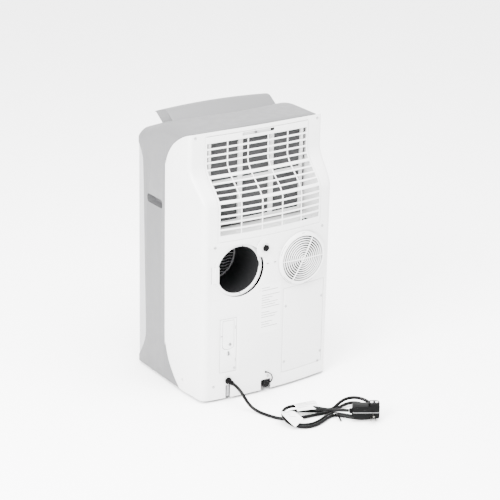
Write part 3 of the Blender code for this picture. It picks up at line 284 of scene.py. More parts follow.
# Light grey for the plug's buttons; also painted shade on the floor of the grille's pull tab recess.
LIGHT_KEY_AND_TAB_SHADE = moulded("light_key_and_tab_shade", (0.42, 0.42, 0.42), 0.35)
SMOKED = moulded("smoked_window", (0.003, 0.003, 0.0035), 0.08, 0.000005, 900.0, 0.9, 0.2)
STEEL = metal("plated_steel", (0.32, 0.32, 0.315), 0.32)
SCREW_STEEL = metal("screw_steel", (0.10, 0.10, 0.10), 0.4)
BRASS = metal("prong_metal", (0.17, 0.165, 0.15), 0.28)
COPPER = metal("copper_pipe", (0.68, 0.36, 0.22), 0.3)
ENAMEL = moulded("black_enamel", (0.004, 0.004, 0.0043), 0.25, 0.00006, 350.0, 0.8, 0.15)
BOARD = moulded("green_board", (0.03, 0.15, 0.07), 0.4, 0.00005, 1800.0, 0.7)
PAPER = moulded("label_film", (0.60, 0.60, 0.597), 0.5, 0.00003, 2200.0, 0.985, 0.3)
INK = moulded("label_rules", (0.05, 0.05, 0.05), 0.6, 0.00002, 2000.0, 0.8, 0.2)
NET = woven("filter_net", (0.010, 0.010, 0.0105), (0.048, 0.048, 0.049), 0.0026)
COIL = finned("coil_fins", (0.10, 0.10, 0.105), (0.72, 0.73, 0.74), 0.0021)
HONEYCOMB = honeycomb("duct_cells", (0.0016, 0.0016, 0.0017), 0.0045)


# ================================================================ mesh helpers
def put(name, bm, material, sharp=32.0):
    """Turn a bmesh into a named, shaded object."""
    bmesh.ops.recalc_face_normals(bm, faces=bm.faces)
    mesh = bpy.data.meshes.new(name)
    bm.to_mesh(mesh)
    bm.free()
    piece = bpy.data.objects.new(name, mesh)
    bpy.context.scene.collection.objects.link(piece)
    if material:
        mesh.materials.append(material)
    shade(mesh, sharp)
    return piece


def shade(mesh, sharp=32.0):
    mesh.shade_smooth()
    mesh.set_sharp_from_angle(angle=math.radians(sharp))


def carve(target, cutter, operation="DIFFERENCE", sharp=32.0):
    modifier = target.modifiers.new("cut", "BOOLEAN")
    modifier.operation = operation
    modifier.solver = "EXACT"
    modifier.object = cutter
    evaluated = target.evaluated_get(bpy.context.evaluated_depsgraph_get())
    mesh = bpy.data.meshes.new_from_object(evaluated)
    target.modifiers.clear()
    target.data = mesh
    bpy.data.objects.remove(cutter)
    shade(mesh, sharp)
    return target


def soften(target, width, segments=2, angle=40.0):
    """Round a piece's sharp edges."""
    modifier = target.modifiers.new("round", "BEVEL")
    modifier.width = width
    modifier.segments = segments
    modifier.limit_method = "ANGLE"
    modifier.angle_limit = math.radians(angle)
    evaluated = target.evaluated_get(bpy.context.evaluated_depsgraph_get())
    mesh = bpy.data.meshes.new_from_object(evaluated)
    target.modifiers.clear()
    target.data = mesh
    shade(mesh, 45.0)
    return target


def merge(name, pieces):
    """One object from several, their materials kept."""
    bm = bmesh.new()
    materials = []
    for piece in pieces:
        start = len(bm.faces)
        bm.from_mesh(piece.data)
        bm.faces.ensure_lookup_table()
        material = piece.data.materials[0] if piece.data.materials else None
        if material not in materials:
            materials.append(material)
        for face in bm.faces[start:]:
            face.material_index = materials.index(material)
    mesh = bpy.data.meshes.new(name)
    bm.to_mesh(mesh)
    bm.free()
    for piece in pieces:
        bpy.data.objects.remove(piece)
    merged = bpy.data.objects.new(name, mesh)
    bpy.context.scene.collection.objects.link(merged)
    for material in materials:
        if material:
            mesh.materials.append(material)
    shade(mesh, 40.0)
    return merged


def add_box(bm, low, high):
    made = bmesh.ops.create_cube(bm, size=1.0)["verts"]
    for vert in made:
        vert.co = Vector(low[i] + (vert.co[i] + 0.5) * (high[i] - low[i]) for i in range(3))
    return made


def box(name, low, high, material=None):
    bm = bmesh.new()
    add_box(bm, low, high)
    return put(name, bm, material)


def round_rect(low, high, radius, steps=6):
    """Outline of a rectangle with round corners, in the plane of its two axes."""
    corners = (((high[0] - radius, high[1] - radius), 0), ((low[0] + radius, high[1] - radius), 90),
               ((low[0] + radius, low[1] + radius), 180), ((high[0] - radius, low[1] + radius), 270))
    outline = []
    for (u, v), start in corners:
        for step in range(steps + 1):
            angle = math.radians(start + 90 * step / steps)
            outline.append((u + radius * math.cos(angle), v + radius * math.sin(angle)))
    return outline


def prism(name, outline, axis, low, high, material=None):
    others = [i for i in range(3) if i != axis]
    bm = bmesh.new()
    rings = []
    for level in (low, high):
        ring = []
        for point in outline:
            place = [0.0, 0.0, 0.0]
            place[axis] = level
            place[others[0]], place[others[1]] = point
            ring.append(bm.verts.new(place))
        rings.append(ring)
    count = len(outline)
    for i in range(count):
        j = (i + 1) % count
        bm.faces.new((rings[0][i], rings[0][j], rings[1][j], rings[1][i]))
    bm.faces.new(rings[0])
    bm.faces.new(rings[1])
    return put(name, bm, material)


def circle(radius, count, centre=(0.0, 0.0), turn=0.0):
    return [(centre[0] + radius * math.cos(turn + 2 * math.pi * i / count),
             centre[1] + radius * math.sin(turn + 2 * math.pi * i / count)) for i in range(count)]


def turned(name, profile, axis, centre, material=None, count=64, sharp=32.0):
    """Turn a closed profile of (radius, place along the axis) points about an axis."""
    others = [i for i in range(3) if i != axis]
    bm = bmesh.new()
    rings = []
    for i in range(count):
        angle = 2 * math.pi * i / count
        ring = []
        for radius, along in profile:
            place = [0.0, 0.0, 0.0]
            place[axis] = along
            place[others[0]] = centre[0] + radius * math.cos(angle)
            place[others[1]] = centre[1] + radius * math.sin(angle)
            ring.append(bm.verts.new(place))
        rings.append(ring)
    for i in range(count):
        for k in range(len(profile)):
            near, far = rings[i], rings[(i + 1) % count]
            m = (k + 1) % len(profile)
            if profile[k][0] > 0 or profile[m][0] > 0:
                bm.faces.new((near[k], far[k], far[m], near[m]))
    bmesh.ops.remove_doubles(bm, verts=bm.verts, dist=1e-7)
    return put(name, bm, material, sharp)


def sheet_between(name, columns, rows, place, material=None, is_open=None, triangles=True):
    """Thick sheet on a grid. place(u, v, side) gives a point of the outer (0) or inner (1) face."""
    bm = bmesh.new()
    outer, inner = ([[bm.verts.new(place(u, v, side)) for v in rows] for u in columns] for side in (0, 1))
    wide, tall = len(columns) - 1, len(rows) - 1

    def solid(i, j):
        return 0 <= i < wide and 0 <= j < tall and not (is_open and is_open(i, j))

    for i in range(wide):
        for j in range(tall):
            if not solid(i, j):
                continue
            bm.faces.new((outer[i][j], outer[i + 1][j], outer[i + 1][j + 1], outer[i][j + 1]))
            bm.faces.new((inner[i][j], inner[i][j + 1], inner[i + 1][j + 1], inner[i + 1][j]))
            for neighbour, (a, b), (c, d) in (
                    ((i - 1, j), (i, j), (i, j + 1)), ((i + 1, j), (i + 1, j + 1), (i + 1, j)),
                    ((i, j - 1), (i + 1, j), (i, j)), ((i, j + 1), (i, j + 1), (i + 1, j + 1))):
                if not solid(*neighbour):
                    bm.faces.new((outer[a][b], outer[c][d], inner[c][d], inner[a][b]))
    bmesh.ops.delete(bm, geom=[vert for vert in bm.verts if not vert.link_faces], context="VERTS")
    if triangles:
        bmesh.ops.triangulate(bm, faces=bm.faces)
    return put(name, bm, material)


def spread(low, high, count):
    return [low + (high - low) * i / count for i in range(count + 1)]


def smooth(t):
    t = min(1.0, max(0.0, t))
    return t * t * (3 - 2 * t)


def fine_line(points, per_span=6):
    """A smooth line through the given points, in any number of dimensions."""
    points = [Vector(point) for point in points]
    padded = [2 * points[0] - points[1], *points, 2 * points[-1] - points[-2]]
    line = []
    for before, start, end, after in zip(padded, padded[1:], padded[2:], padded[3:]):
        for k in range(per_span):
            t = k / per_span
            line.append(0.5 * (2 * start + (end - before) * t
                               + (2 * before - 5 * start + 4 * end - after) * t * t
                               + (3 * start - before - 3 * end + after) * t ** 3))
    line.append(points[-1])
    return line


def sweep(name, route, outline, material, sharp=40.0, side=Vector((1.0, 0.0, 0.0))):
    """Carry a closed outline of (across, up) points along a route, with closed ends."""
    route = [Vector(point) for point in route]
    bm = bmesh.new()
    rings = []
    for i, point in enumerate(route):
        along = (route[min(i + 1, len(route) - 1)] - route[max(i - 1, 0)]).normalized()
        across = (side - along * side.dot(along)).normalized()
        up = along.cross(across)
        rings.append([bm.verts.new(point + across * u + up * v) for u, v in outline])
    count = len(outline)
    for first, second in zip(rings, rings[1:]):
        for i in range(count):
            j = (i + 1) % count
            bm.faces.new((first[i], first[j], second[j], second[i]))
    bm.faces.new(rings[0])
    bm.faces.new(rings[-1])
    return put(name, bm, material, sharp)


def ride(piece, body, *replaced, slot=None):
    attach(piece, body)
    if replaced:
        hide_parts(*replaced)
    return piece


# ================================================================ casing surfaces
def swell(z):
    return smooth((SWELL_TOP - z) / (SWELL_TOP - SWELL_LOW))


def back_y(x, z):
    upper = BACK_TOP_Y - BACK_TOP_BOW * (x / HALF) ** 2
    lower = BACK_LOW_Y - BACK_LOW_BOW * (x / HALF) ** 2
    return upper + (lower - upper) * swell(z)


def front_y(x):
    return FRONT_Y + FRONT_BOW * (x / HALF) ** 2


def top_z(x, y):
    knee = 0.030
    ahead = KNEE_Y - y
    if ahead < -knee:
        fall = 0.0
    elif ahead < knee:
        fall = SLOPE * (ahead + knee) ** 2 / (4 * knee)
    else:
        fall = SLOPE * ahead
    nose = front_y(x) + NOSE_R - y
    if nose > 0:
        fall += NOSE_R - math.sqrt(max(0.0, NOSE_R ** 2 - nose ** 2))
    tail = y - (back_y(x, 1.0) - CORNER_TOP_R)
    if tail > 0:
        depth = min(1.0, tail / CORNER_TOP_R)
        fall += 0.010 * (1 - math.sqrt(max(0.0, 1 - depth ** 2)))
    crown = TOP_CROWN * (x / HALF) ** 2
    reach = max(0.001, DISH_LENGTH * (1 - (x / (HOOD_HALF - 0.005)) ** 2))
    dish = DISH_DEPTH * smooth(1 - (y - OUTLET_BACK_Y) / reach) if y < OUTLET_BACK_Y + reach else 0.0
    if abs(x) > HOOD_HALF - 0.005 or y < OUTLET_FRONT_Y + 0.010:
        dish = 0.0
    return TOP_LEVEL - fall - crown - dish


def mirrored(half_points):
    return half_points + [(-x, y) for x, y in reversed(half_points[:-1])]


def back_outline(z, inset):
    swollen = swell(z)
    radius = CORNER_TOP_R + (CORNER_LOW_R - CORNER_TOP_R) * swollen
    centre_x = HALF - FLANK_TAPER * swollen - radius
    centre_y = back_y(centre_x, z) - radius
    points = [(HALF - inset, y) for y in (-0.060, -0.020, 0.030)]
    points.append((HALF - inset, min(CREASE_Y, centre_y - 0.003)))
    for step in range(13):
        angle = math.pi / 2 * step / 12
        points.append((centre_x + (radius - inset) * math.cos(angle),
                       centre_y + (radius - inset) * math.sin(angle)))
    points += [(x, back_y(x, z) - inset) for x in spread(centre_x, 0.0, 12)[1:]]
    return mirrored(points)


def front_outline(inset):
    centre_x = HALF - CORNER_FRONT_R
    centre_y = front_y(centre_x) + CORNER_FRONT_R
    reach = CORNER_FRONT_R - inset
    points = [(HALF - inset, -0.090)]
    for step in range(15):
        angle = math.pi / 2 * step / 14
        points.append((centre_x + reach * math.cos(angle), centre_y - reach * math.sin(angle)))
    points += [(x, front_y(x) + inset) for x in spread(centre_x, 0.0, 12)[1:]]
    return mirrored(points)


FRONT_SEAM = fine_line((
    (-0.166, -0.02), (-0.164, 0.020), (-0.146, 0.048), (-0.128, 0.082), (-0.1215, 0.120),
    (-0.1250, 0.250), (-0.1290, 0.400), (-0.1345, 0.590), (-0.1420, 0.625), (-0.1560, 0.646),
    (-0.1780, 0.656), (-0.230, 0.660)), 4)
BACK_SEAM = fine_line((
    (0.066, -0.02), (0.056, 0.008), (0.035, 0.028), (0.016, 0.050), (0.002, 0.070), (-0.008, 0.092),
    (-0.016, 0.118), (-0.020, 0.150), (-0.020, 0.600), (-0.0175, 0.628), (-0.009, 0.653),
    (0.004, 0.674), (0.022, 0.694), (0.045, 0.711), (0.072, 0.7260), (0.092, 0.7345),
    (0.104, SHELL_TOP)), 4) + [Vector((0.300, SHELL_TOP))]


def shifted(outline, offset):
    result = []
    for i, point in enumerate(outline):
        along = (outline[min(len(outline) - 1, i + 1)] - outline[max(0, i - 1)]).normalized()
        result.append((point[0] + along.y * offset, point[1] - along.x * offset))
    return result


def side_region(outline):
    return prism("region", outline, 0, -HALF - 0.05, HALF + 0.05)


def back_window(x_range, z_range, radius, grow=0.0):
    outline = round_rect((x_range[0] - grow, z_range[0] - grow), (x_range[1] + grow, z_range[1] + grow), radius)
    return prism("window", outline, 1, 0.03, 0.30)


def back_hole(radius, place, count=64):
    return prism("hole", circle(radius, count, place), 1, 0.10, 0.30)


def join_cutters(cutters):
    return merge("cutters", cutters)


# ================================================================ screws
def build_screw_mesh():
    """Pan-head screw with a cross recess, in a small cup. Its axis is +Z and its face is at 0."""
    head = turned("head", [(0.0, -0.0022), (0.0026, -0.0022), (0.0027, -0.0012), (0.0023, -0.0004),
                           (0.0012, -0.0001), (0.0, -0.0001)], 2, (0.0, 0.0), SCREW_STEEL, 32)
    bm = bmesh.new()
    add_box(bm, (-0.0017, -0.00035, -0.0011), (0.0017, 0.00035, 0.001))
    carve(head, put("slot", bm, None))
    bm = bmesh.new()
    add_box(bm, (-0.00035, -0.0017, -0.0011), (0.00035, 0.0017, 0.001))
    carve(head, put("slot", bm, None))
    cup = turned("cup", [(0.0, -0.0030), (0.0038, -0.0030), (0.0038, 0.0002), (0.0031, 0.0002), (0.0031, -0.0024),
                         (0.0, -0.0024)], 2, (0.0, 0.0), KEY, 32)
    return merge("screw", [cup, head])


SCREW = build_screw_mesh()


def surface_normal(x, z):
    step = 0.0005
    across = Vector((2 * step, back_y(x + step, z) - back_y(x - step, z), 0.0))
    up = Vector((0.0, back_y(x, z + step) - back_y(x, z - step), 2 * step))
    return up.cross(across).normalized()


def add_screw(name, body, place, normal, turn=0.6):
    screw = bpy.data.objects.new(name, SCREW.data.copy())
    bpy.context.scene.collection.objects.link(screw)
    aim = Vector(normal).to_track_quat("Z", "Y").to_matrix().to_4x4()
    screw.matrix_world = Matrix.Translation(Vector(place)) @ aim @ Matrix.Rotation(turn, 4, "Z")
    return ride(screw, body)


def back_screw(name, body, x, z, turn=0.6):
    add_screw(name, body, (x, back_y(x, z) + 0.0003, z), surface_normal(x, z), turn)


# ================================================================ rear shell
def build_rear_shell():
    heights = [SKIRT_Z, 0.05, 0.15, 0.25, 0.35, 0.45, 0.52, *spread(SWELL_LOW, SWELL_TOP, 20), 0.68, 0.71, SHELL_TOP]
    stations = range(len(back_outline(0.3, 0.0)))

    def place(k, z, side):
        x, y = back_outline(z, side * WALL)[k]
        return (x, y, z)

    shell = sheet_between("rear_shell_skin", stations, heights, place, WHITE)
    carve(shell, side_region(shifted(BACK_SEAM, SEAM * 0.3) + [(0.300, -0.02)]), "INTERSECT")
    cutters = [
        back_window((GRILLE_LOW.x, GRILLE_HIGH.x), (GRILLE_LOW.z, GRILLE_HIGH.z + SEAM), 0.0032, SEAM),
        back_hole(COLLAR_R + 0.0003, (PORT.x, PORT.z), 96),
        back_hole(VENT_R + 0.0008, (VENT.x, VENT.z), 96),
        back_hole(0.0125, DRAIN_HIGH),
        back_window(SERVICE_X, SERVICE_Z, 0.0025, SEAM * 1.4),
        back_window(COVER_X, COVER_Z, 0.0020, SEAM * 1.6),
        back_hole(0.0085, CORD_EXIT, 48),
        back_window((DRAIN_LOW[0] - 0.016, DRAIN_LOW[0] + 0.016), (-0.02, 0.0370), 0.004),
        back_window((CORD_EXIT[0] - 0.0078, CORD_EXIT[0] + 0.0070), (-0.02, 0.0460), 0.003)]
    carve(shell, join_cutters(cutters))
    seat = sheet_between("seat", spread(0.0235, 0.1960, 16), spread(0.2965, 0.4440, 4),
                         lambda x, z, side: (x, back_y(min(x, 0.184), z) + 0.010 - side * 0.0110, z))
    carve(shell, seat)
    lock = box("lock", (0.1785, 0.10, 0.3430), (0.1800, 0.30, 0.3905))
    carve(shell, lock)
    soften(shell, 0.0005)
    ride(shell, "machine", "rear_shell", slot="rear_shell")


def surface_slab(name, x_range, z_range, lift, thickness, radius, material, extra=()):
    """Plate with round corners that follows the back of the casing."""
    outline = round_rect((x_range[0], z_range[0]), (x_range[1], z_range[1]), radius)
    plate = sheet_between(name, spread(x_range[0] - 0.001, x_range[1] + 0.001, 16),
                          spread(z_range[0] - 0.001, z_range[1] + 0.001, 4),
                          lambda x, z, side: (x, back_y(x, z) + lift - side * thickness, z), material)
    carve(plate, prism("keep", outline, 1, 0.02, 0.30), "INTERSECT")
    for cutter in extra:
        carve(plate, cutter)
    return plate


def build_back_details():
    for number, (x_range, z_range) in enumerate(((SERVICE_X, SERVICE_Z), (COVER_X, COVER_Z))):
        border = 0.006
        # Dark plates just behind the service panel and cord cover gaps: painted shade, so the seams read as dark shaded
        # gaps.
        gap_shade_plate = surface_slab("painted_seam_shade_%d" % (number + 1), (x_range[0] - border, x_range[1] + border),
                              (z_range[0] - border, z_range[1] + border), -WALL - 0.0003, 0.0010, 0.003, DARK_PLASTIC_AND_SHADE)
        ride(gap_shade_plate, "machine")
    service = surface_slab("service_panel_skin", SERVICE_X, SERVICE_Z, 0.0, WALL, 0.0020, WHITE)
    soften(service, 0.0005)
    ride(service, "machine", "service_panel", slot="service_panel")
    for number, (x, z) in enumerate(((-0.050, 0.239), (-0.049, 0.075), (-0.177, 0.240), (-0.179, 0.074))):
        back_screw("service_screw_%d" % (number + 1), "machine", x, z, 0.4 + number)
    for number, (x, z) in enumerate(((0.192, 0.7270), (-0.192, 0.7270), (0.171, 0.445), (-0.171, 0.445),
                                     (0.1705, 0.0465), (-0.1705, 0.0465))):
        back_screw("shell_screw_%d" % (number + 1), "machine", x, z, 0.2 + 0.7 * number)
    for side in (-1, 1):
        add_screw("flank_screw_%s" % ("left" if side > 0 else "right"), "machine",
                  (side * (HALF + 0.0002), 0.0745, 0.040), (side, 0, 0), 0.9)

    boss = turned("drain_boss", [(0.0125, 0.0), (0.0262, 0.0), (0.0270, 0.0006), (0.0262, 0.0016), (0.0232, 0.0020),
                                 (0.0130, 0.0020), (0.0125, 0.0016)], 1, (0.0, 0.0), WHITE, 64)
    x, z = DRAIN_HIGH
    boss.matrix_world = Matrix.Translation((x, back_y(x, z) - 0.0008, z))
    ride(boss, "machine")
    for number, x in enumerate((0.014, -0.010)):
        z = 0.3755
        y = back_y(x, z)
        clip = surface_slab("clip_%d" % (number + 1), (x - 0.0042, x + 0.0042), (z - 0.0030, z + 0.0030),
                            0.0011, 0.0016, 0.0010, WHITE)
        # Dark box in the clip's slot: painted shade in the opening.
        slot = box("clip_gap", (x - 0.0030, y + 0.0003, z - 0.0004), (x + 0.0030, y + 0.0015, z + 0.0016), DARK_PLASTIC_AND_SHADE)
        ride(merge("slot_clip_%d" % (number + 1), [clip, slot]), "machine")
    dimple = turned("dimple", [(0.0, 0.0), (0.0034, 0.0), (0.0034, 0.0006), (0.0026, 0.0010), (0.0018, 0.0005),
                               (0.0, 0.0004)], 1, (0.0, 0.0), WHITE, 32)
    x, z = -0.027, 0.405
    dimple.matrix_world = Matrix.Translation((x, back_y(x, z), z))
    ride(dimple, "machine")
    tab = surface_slab("seat_tab", (0.1590, 0.1765), (0.3440, 0.3895), 0.0004, 0.0015, 0.0012, WHITE)
    soften(tab, 0.0003)
    ride(tab, "machine")

    label = surface_slab("label", (-0.032, 0.035), (0.177, 0.316), 0.0003, 0.0004, 0.0015, PAPER)
    rules = [label]
    for number in range(17):
        z = 0.306 - 0.0070 * number
        if number in (2, 9, 13):
            continue
        width = (0.026, 0.052, 0.044, 0.058, 0.036)[number % 5]
        rules.append(surface_slab("rule", (0.030 - width, 0.030), (z, z + 0.0011), 0.0005, 0.0003, 0.0002, INK))
    ride(merge("blank_label", rules), "machine")


def build_cord_cover():
    flap_gap = prism("gap", flap_outline(0.0012), 1, 0.10, 0.30)
    cover = surface_slab("cord_cover_skin", COVER_X, COVER_Z, 0.0, WALL, 0.0018, WHITE, [flap_gap])
    hook_y = back_y(0.128, 0.139)
    soften(cover, 0.0004)
    hook = sweep("hook", fine_line([(0.1290, hook_y + 0.0002, 0.1440), (0.1290, hook_y + 0.0030, 0.1400),
                                    (0.1290, hook_y + 0.0032, 0.1350), (0.1290, hook_y + 0.0008, 0.1325)], 4),
                 round_rect((-0.0022, -0.0007), (0.0022, 0.0007), 0.0004, 2), GREY)
    dashes = []
    for z in (0.2105, 0.1160):
        x = COVER_X[0] + 0.0024
        y = back_y(x, z)
        dashes.append(box("dash", (x - 0.0005, y - 0.0002, z - 0.0050), (x + 0.0005, y + 0.0002, z + 0.0050), DARK_PLASTIC_AND_SHADE))
    x, z = COVER_X[1] - 0.0036, 0.190
    grip = box("grip", (x - 0.0030, back_y(x, z) - 0.0005, z - 0.0012), (x + 0.0030, back_y(x, z) + 0.0008, z + 0.0012),
               KEY)
    ride(merge("cord_cover_shown", [cover, hook, grip, *dashes]), "machine", "cord_cover", slot="cord_cover")
    back_screw("cover_screw", "machine", COVER_X[0] + 0.0045, 0.0925, 1.1)

    flap = sheet_between("flap", spread(FLAP_X[0], FLAP_X[1], 10), spread(FLAP_Z[0], FLAP_Z[1], 10),
                         lambda x, z, side: (x, back_y(x, z) + 0.0001 - side * 0.0020, z), WHITE)
    carve(flap, prism("keep", flap_outline(0.0), 1, 0.02, 0.30), "INTERSECT")
    soften(flap, 0.0004)
    x, z = 0.1245, 0.1640
    boss = turned("boss", [(0.0, 0.0), (0.0062, 0.0), (0.0062, 0.0008), (0.0054, 0.0012), (0.0046, 0.0006), (0.0, 0.0006)],
                  1, (0.0, 0.0), WHITE, 40)
    boss.data.transform(Matrix.Translation((x, back_y(x, z), z)))
    ride(merge("cord_cover_flap_shown", [flap, boss]), "cord_flap", "cord_cover_flap", slot="cord_cover_flap")
    add_screw("flap_screw", "cord_flap", (x, back_y(x, z) + 0.0013, z), surface_normal(x, z), 0.3)


def flap_outline(grow):
    """The flap has a round lower end."""
    low, high = FLAP_X[0] - grow, FLAP_X[1] + grow
    middle, reach = (low + high) / 2, (high - low) / 2
    bottom = FLAP_Z[0] - grow + 0.010
    outline = [(high, FLAP_Z[1] + grow), (low, FLAP_Z[1] + grow)]
    for step in range(17):
        angle = math.pi + math.pi * step / 16
        outline.append((middle + reach * math.cos(angle), bottom + 0.010 * math.sin(angle)))
    return outline


# ================================================================ grille, filter
SLAT = 0.005
THICK_SLAT = 0.009
RIB = 0.0025
MARGIN_X = 0.0055
MARGIN_TOP = 0.0185
MARGIN_LOW = 0.0175
ROWS = (5, 4, 5)
COLUMNS = 5


def grille_marks():
    """Slot edges down the grille, top to bottom, as pairs of heights."""
    heights = spread(GRILLE_HIGH.z, GRILLE_LOW.z, 400)
    runs = [0.0]
    for upper, lower in zip(heights, heights[1:]):
        runs.append(runs[-1] + math.hypot(upper - lower, back_y(0, lower) - back_y(0, upper)))

    def height_at(run):
        k = next((k for k in range(1, len(runs)) if runs[k] >= run), len(runs) - 1)
        share = (run - runs[k - 1]) / (runs[k] - runs[k - 1])
        return heights[k - 1] + (heights[k] - heights[k - 1]) * share

    slots = sum(ROWS)
    thick = len(ROWS) - 1
    slot = (runs[-1] - MARGIN_TOP - MARGIN_LOW - SLAT * (slots - 1 - thick) - THICK_SLAT * thick) / slots
    run = MARGIN_TOP
    pairs = []
    for group, count in enumerate(ROWS):
        for k in range(count):
            pairs.append((height_at(run), height_at(run + slot)))
            run += slot + (SLAT if k < count - 1 else THICK_SLAT)
    return pairs


def build_grille():
    low_x, high_x = GRILLE_LOW.x, GRILLE_HIGH.x
    pairs = grille_marks()
    top, bottom = pairs[0][0], pairs[-1][1]
    border = sheet_between("border", [low_x, low_x + MARGIN_X, *spread(low_x + MARGIN_X, high_x - MARGIN_X, 12)[1:],
                                      high_x],
                           [GRILLE_LOW.z, *spread(GRILLE_LOW.z, bottom, 3)[1:], *spread(bottom, top, 40)[1:],
                            *spread(top, GRILLE_HIGH.z, 3)[1:]],
                           lambda x, z, side: (x, back_y(x, z) - side * WALL, z), WHITE,
                           lambda i, j: 1 <= i <= 12 and 3 <= j < 43)
    pull_z = (0.7150, 0.7235)
    carve(border, prism("tab", round_rect((-0.051, pull_z[0]), (0.051, pull_z[1]), 0.0040), 1, 0.0, back_y(0, 0.72) + 0.02))
    soften(border, 0.0005)
    # The pull tab's recess floor is given light grey instead of white: painted shade in the recess.
    cup = sheet_between("cup", spread(-0.054, 0.054, 14), spread(pull_z[0] - 0.003, pull_z[1] + 0.003, 2),
                        lambda x, z, side: (x, back_y(x, z) - 0.0040 - side * 0.0010, z), LIGHT_KEY_AND_TAB_SHADE)
    # Dark box at one end of the pull tab: painted shade in its finger well.
    well = box("well", (-0.0505, back_y(0.05, 0.72) - 0.0044, pull_z[0] + 0.0004),
               (-0.0400, back_y(0.05, 0.72) - 0.0030, pull_z[1] - 0.0004), DARK_PLASTIC_AND_SHADE)
    parts = [border, cup, well]
    section = round_rect((-SLAT / 2, -0.0016), (SLAT / 2, 0.0016), 0.0012, 3)
    thick_section = round_rect((-THICK_SLAT / 2, -0.0018), (THICK_SLAT / 2, 0.0018), 0.0012, 3)
    rib_section = round_rect((-RIB / 2, -0.0016), (RIB / 2, 0.0016), 0.0007, 2)
    slats = [(upper[1] + lower[0]) / 2 for upper, lower in zip(pairs, pairs[1:])]
    thick_rows = (ROWS[0] - 1, ROWS[0] + ROWS[1] - 1)
    for number, z in enumerate(slats):
        lean = surface_normal(0, z)
        rise = Vector((0.0, -lean.z, lean.y))
        shape = thick_section if number in thick_rows else section
        bm = bmesh.new()
        rings = []
        for x in spread(low_x + MARGIN_X - 0.002, high_x - MARGIN_X + 0.002, 24):
            middle = Vector((x, back_y(x, z), z)) - lean * 0.0017
            rings.append([bm.verts.new(middle + rise * u + lean * v) for u, v in shape])
        for first, second in zip(rings, rings[1:]):
            for i in range(len(shape)):
                j = (i + 1) % len(shape)
                bm.faces.new((first[i], first[j], second[j], second[i]))
        parts.append(put("slat", bm, WHITE, 40.0))
    inner = high_x - MARGIN_X
    cell = (2 * inner - (COLUMNS - 1) * RIB) / COLUMNS
    for k in range(1, COLUMNS):
        x = -inner + k * (cell + RIB) - RIB / 2
        route = [(x, back_y(x, z) - 0.0019, z) for z in spread(top + 0.001, bottom - 0.001, 60)]
        parts.append(sweep("rib", route, rib_section, WHITE))
    ride(merge("rear_grille_shown", parts), "grille_door", "rear_grille", slot="rear_grille")
    back_screw("grille_screw", "grille_door", 0.009, 0.7193, 0.5)
    low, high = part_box("filter_bay")
    slot_shades = []
    # Thin dark plates on the filter bay floor: painted shade in its hook slots.
    for x in (0.148, -0.118, -0.131):
        slot_shades.append(box("hook", (x - 0.0042, low.y + 0.060, low.z + 0.0018), (x + 0.0042, low.y + 0.072, low.z + 0.0023),
                         DARK_PLASTIC_AND_SHADE))
    ride(merge("bay_slot_painted_shade", slot_shades), "machine")


# ================================================================ ports
def build_exhaust():
    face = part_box("exhaust_collar")[1].y
    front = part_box("exhaust_collar")[0].y
    collar = turned("collar", [
        (PORT_R + 0.0009, front), (COLLAR_R - 0.003, front), (COLLAR_R - 0.003, face - 0.005), (COLLAR_R, face - 0.005),
        (COLLAR_R, face - 0.0008), (COLLAR_R - 0.0008, face), (PORT_R + 0.0010, face), (PORT_R, face - 0.0012),
        (PORT_R, face - 0.0045), (PORT_R + 0.0009, face - 0.0045)],
        1, (PORT.x, PORT.z), WHITE, 128)
    for degrees, half in ((100, 0.0022), (265, 0.0022), (176, 0.0075)):
        angle = math.radians(degrees)
        x, z = PORT.x + PORT_R * math.cos(angle), PORT.z + PORT_R * math.sin(angle)
        bm = bmesh.new()
        add_box(bm, (-0.003, -0.012, -half), (0.0032, 0.02, half))
        notch = put("notch", bm, None)
        notch.data.transform(Matrix.Translation((x, face, z)) @ Matrix.Rotation(-angle, 4, "Y"))
        carve(collar, notch)
    ride(collar, "machine", "exhaust_collar", slot="exhaust_collar")
    mouth = face - 0.0048
    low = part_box("exhaust_duct")[0]
    duct = turned("exhaust_duct_shown", [
        (PORT_R - 0.0002, low.y + 0.0028), (PORT_R + 0.0007, low.y + 0.0028), (PORT_R + 0.0007, mouth),
        (PORT_R - 0.0002, mouth)], 1, (PORT.x, PORT.z), HONEYCOMB, 128)
    end = turned("duct_end", [(0.0, low.y), (PORT_R, low.y), (PORT_R, low.y + 0.0020), (0.0, low.y + 0.0020)],
                 1, (PORT.x, PORT.z), DARK_PLASTIC_AND_SHADE, 64)
    ride(merge("exhaust_duct_skin", [duct, end]), "machine", "exhaust_duct", slot="exhaust_duct")
    low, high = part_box("exhaust_guard")
    rim = turned("rim", [(PORT_R - 0.0045, low.y), (PORT_R - 0.0006, low.y), (PORT_R - 0.0006, high.y),
                         (PORT_R - 0.0045, high.y)], 1, (PORT.x, PORT.z), KEY, 96)
    fins = [rim]
    for z in spread(-0.0590, 0.0590, 14):
        reach = math.sqrt((PORT_R - 0.0042) ** 2 - z ** 2)
        route = [(PORT.x + x, high.y - 0.0016, PORT.z + z + 0.0011 * math.sin(x / 0.0042))
                 for x in spread(-reach, reach, 40)]
        fins.append(sweep("fin", route, round_rect((-0.0022, -0.0006), (0.0022, 0.0006), 0.0005, 2), KEY,
                          40.0, Vector((0.0, 0.9, 0.45)).normalized()))
    ride(merge("exhaust_guard_fins", fins), "machine", "exhaust_guard", slot="exhaust_guard")


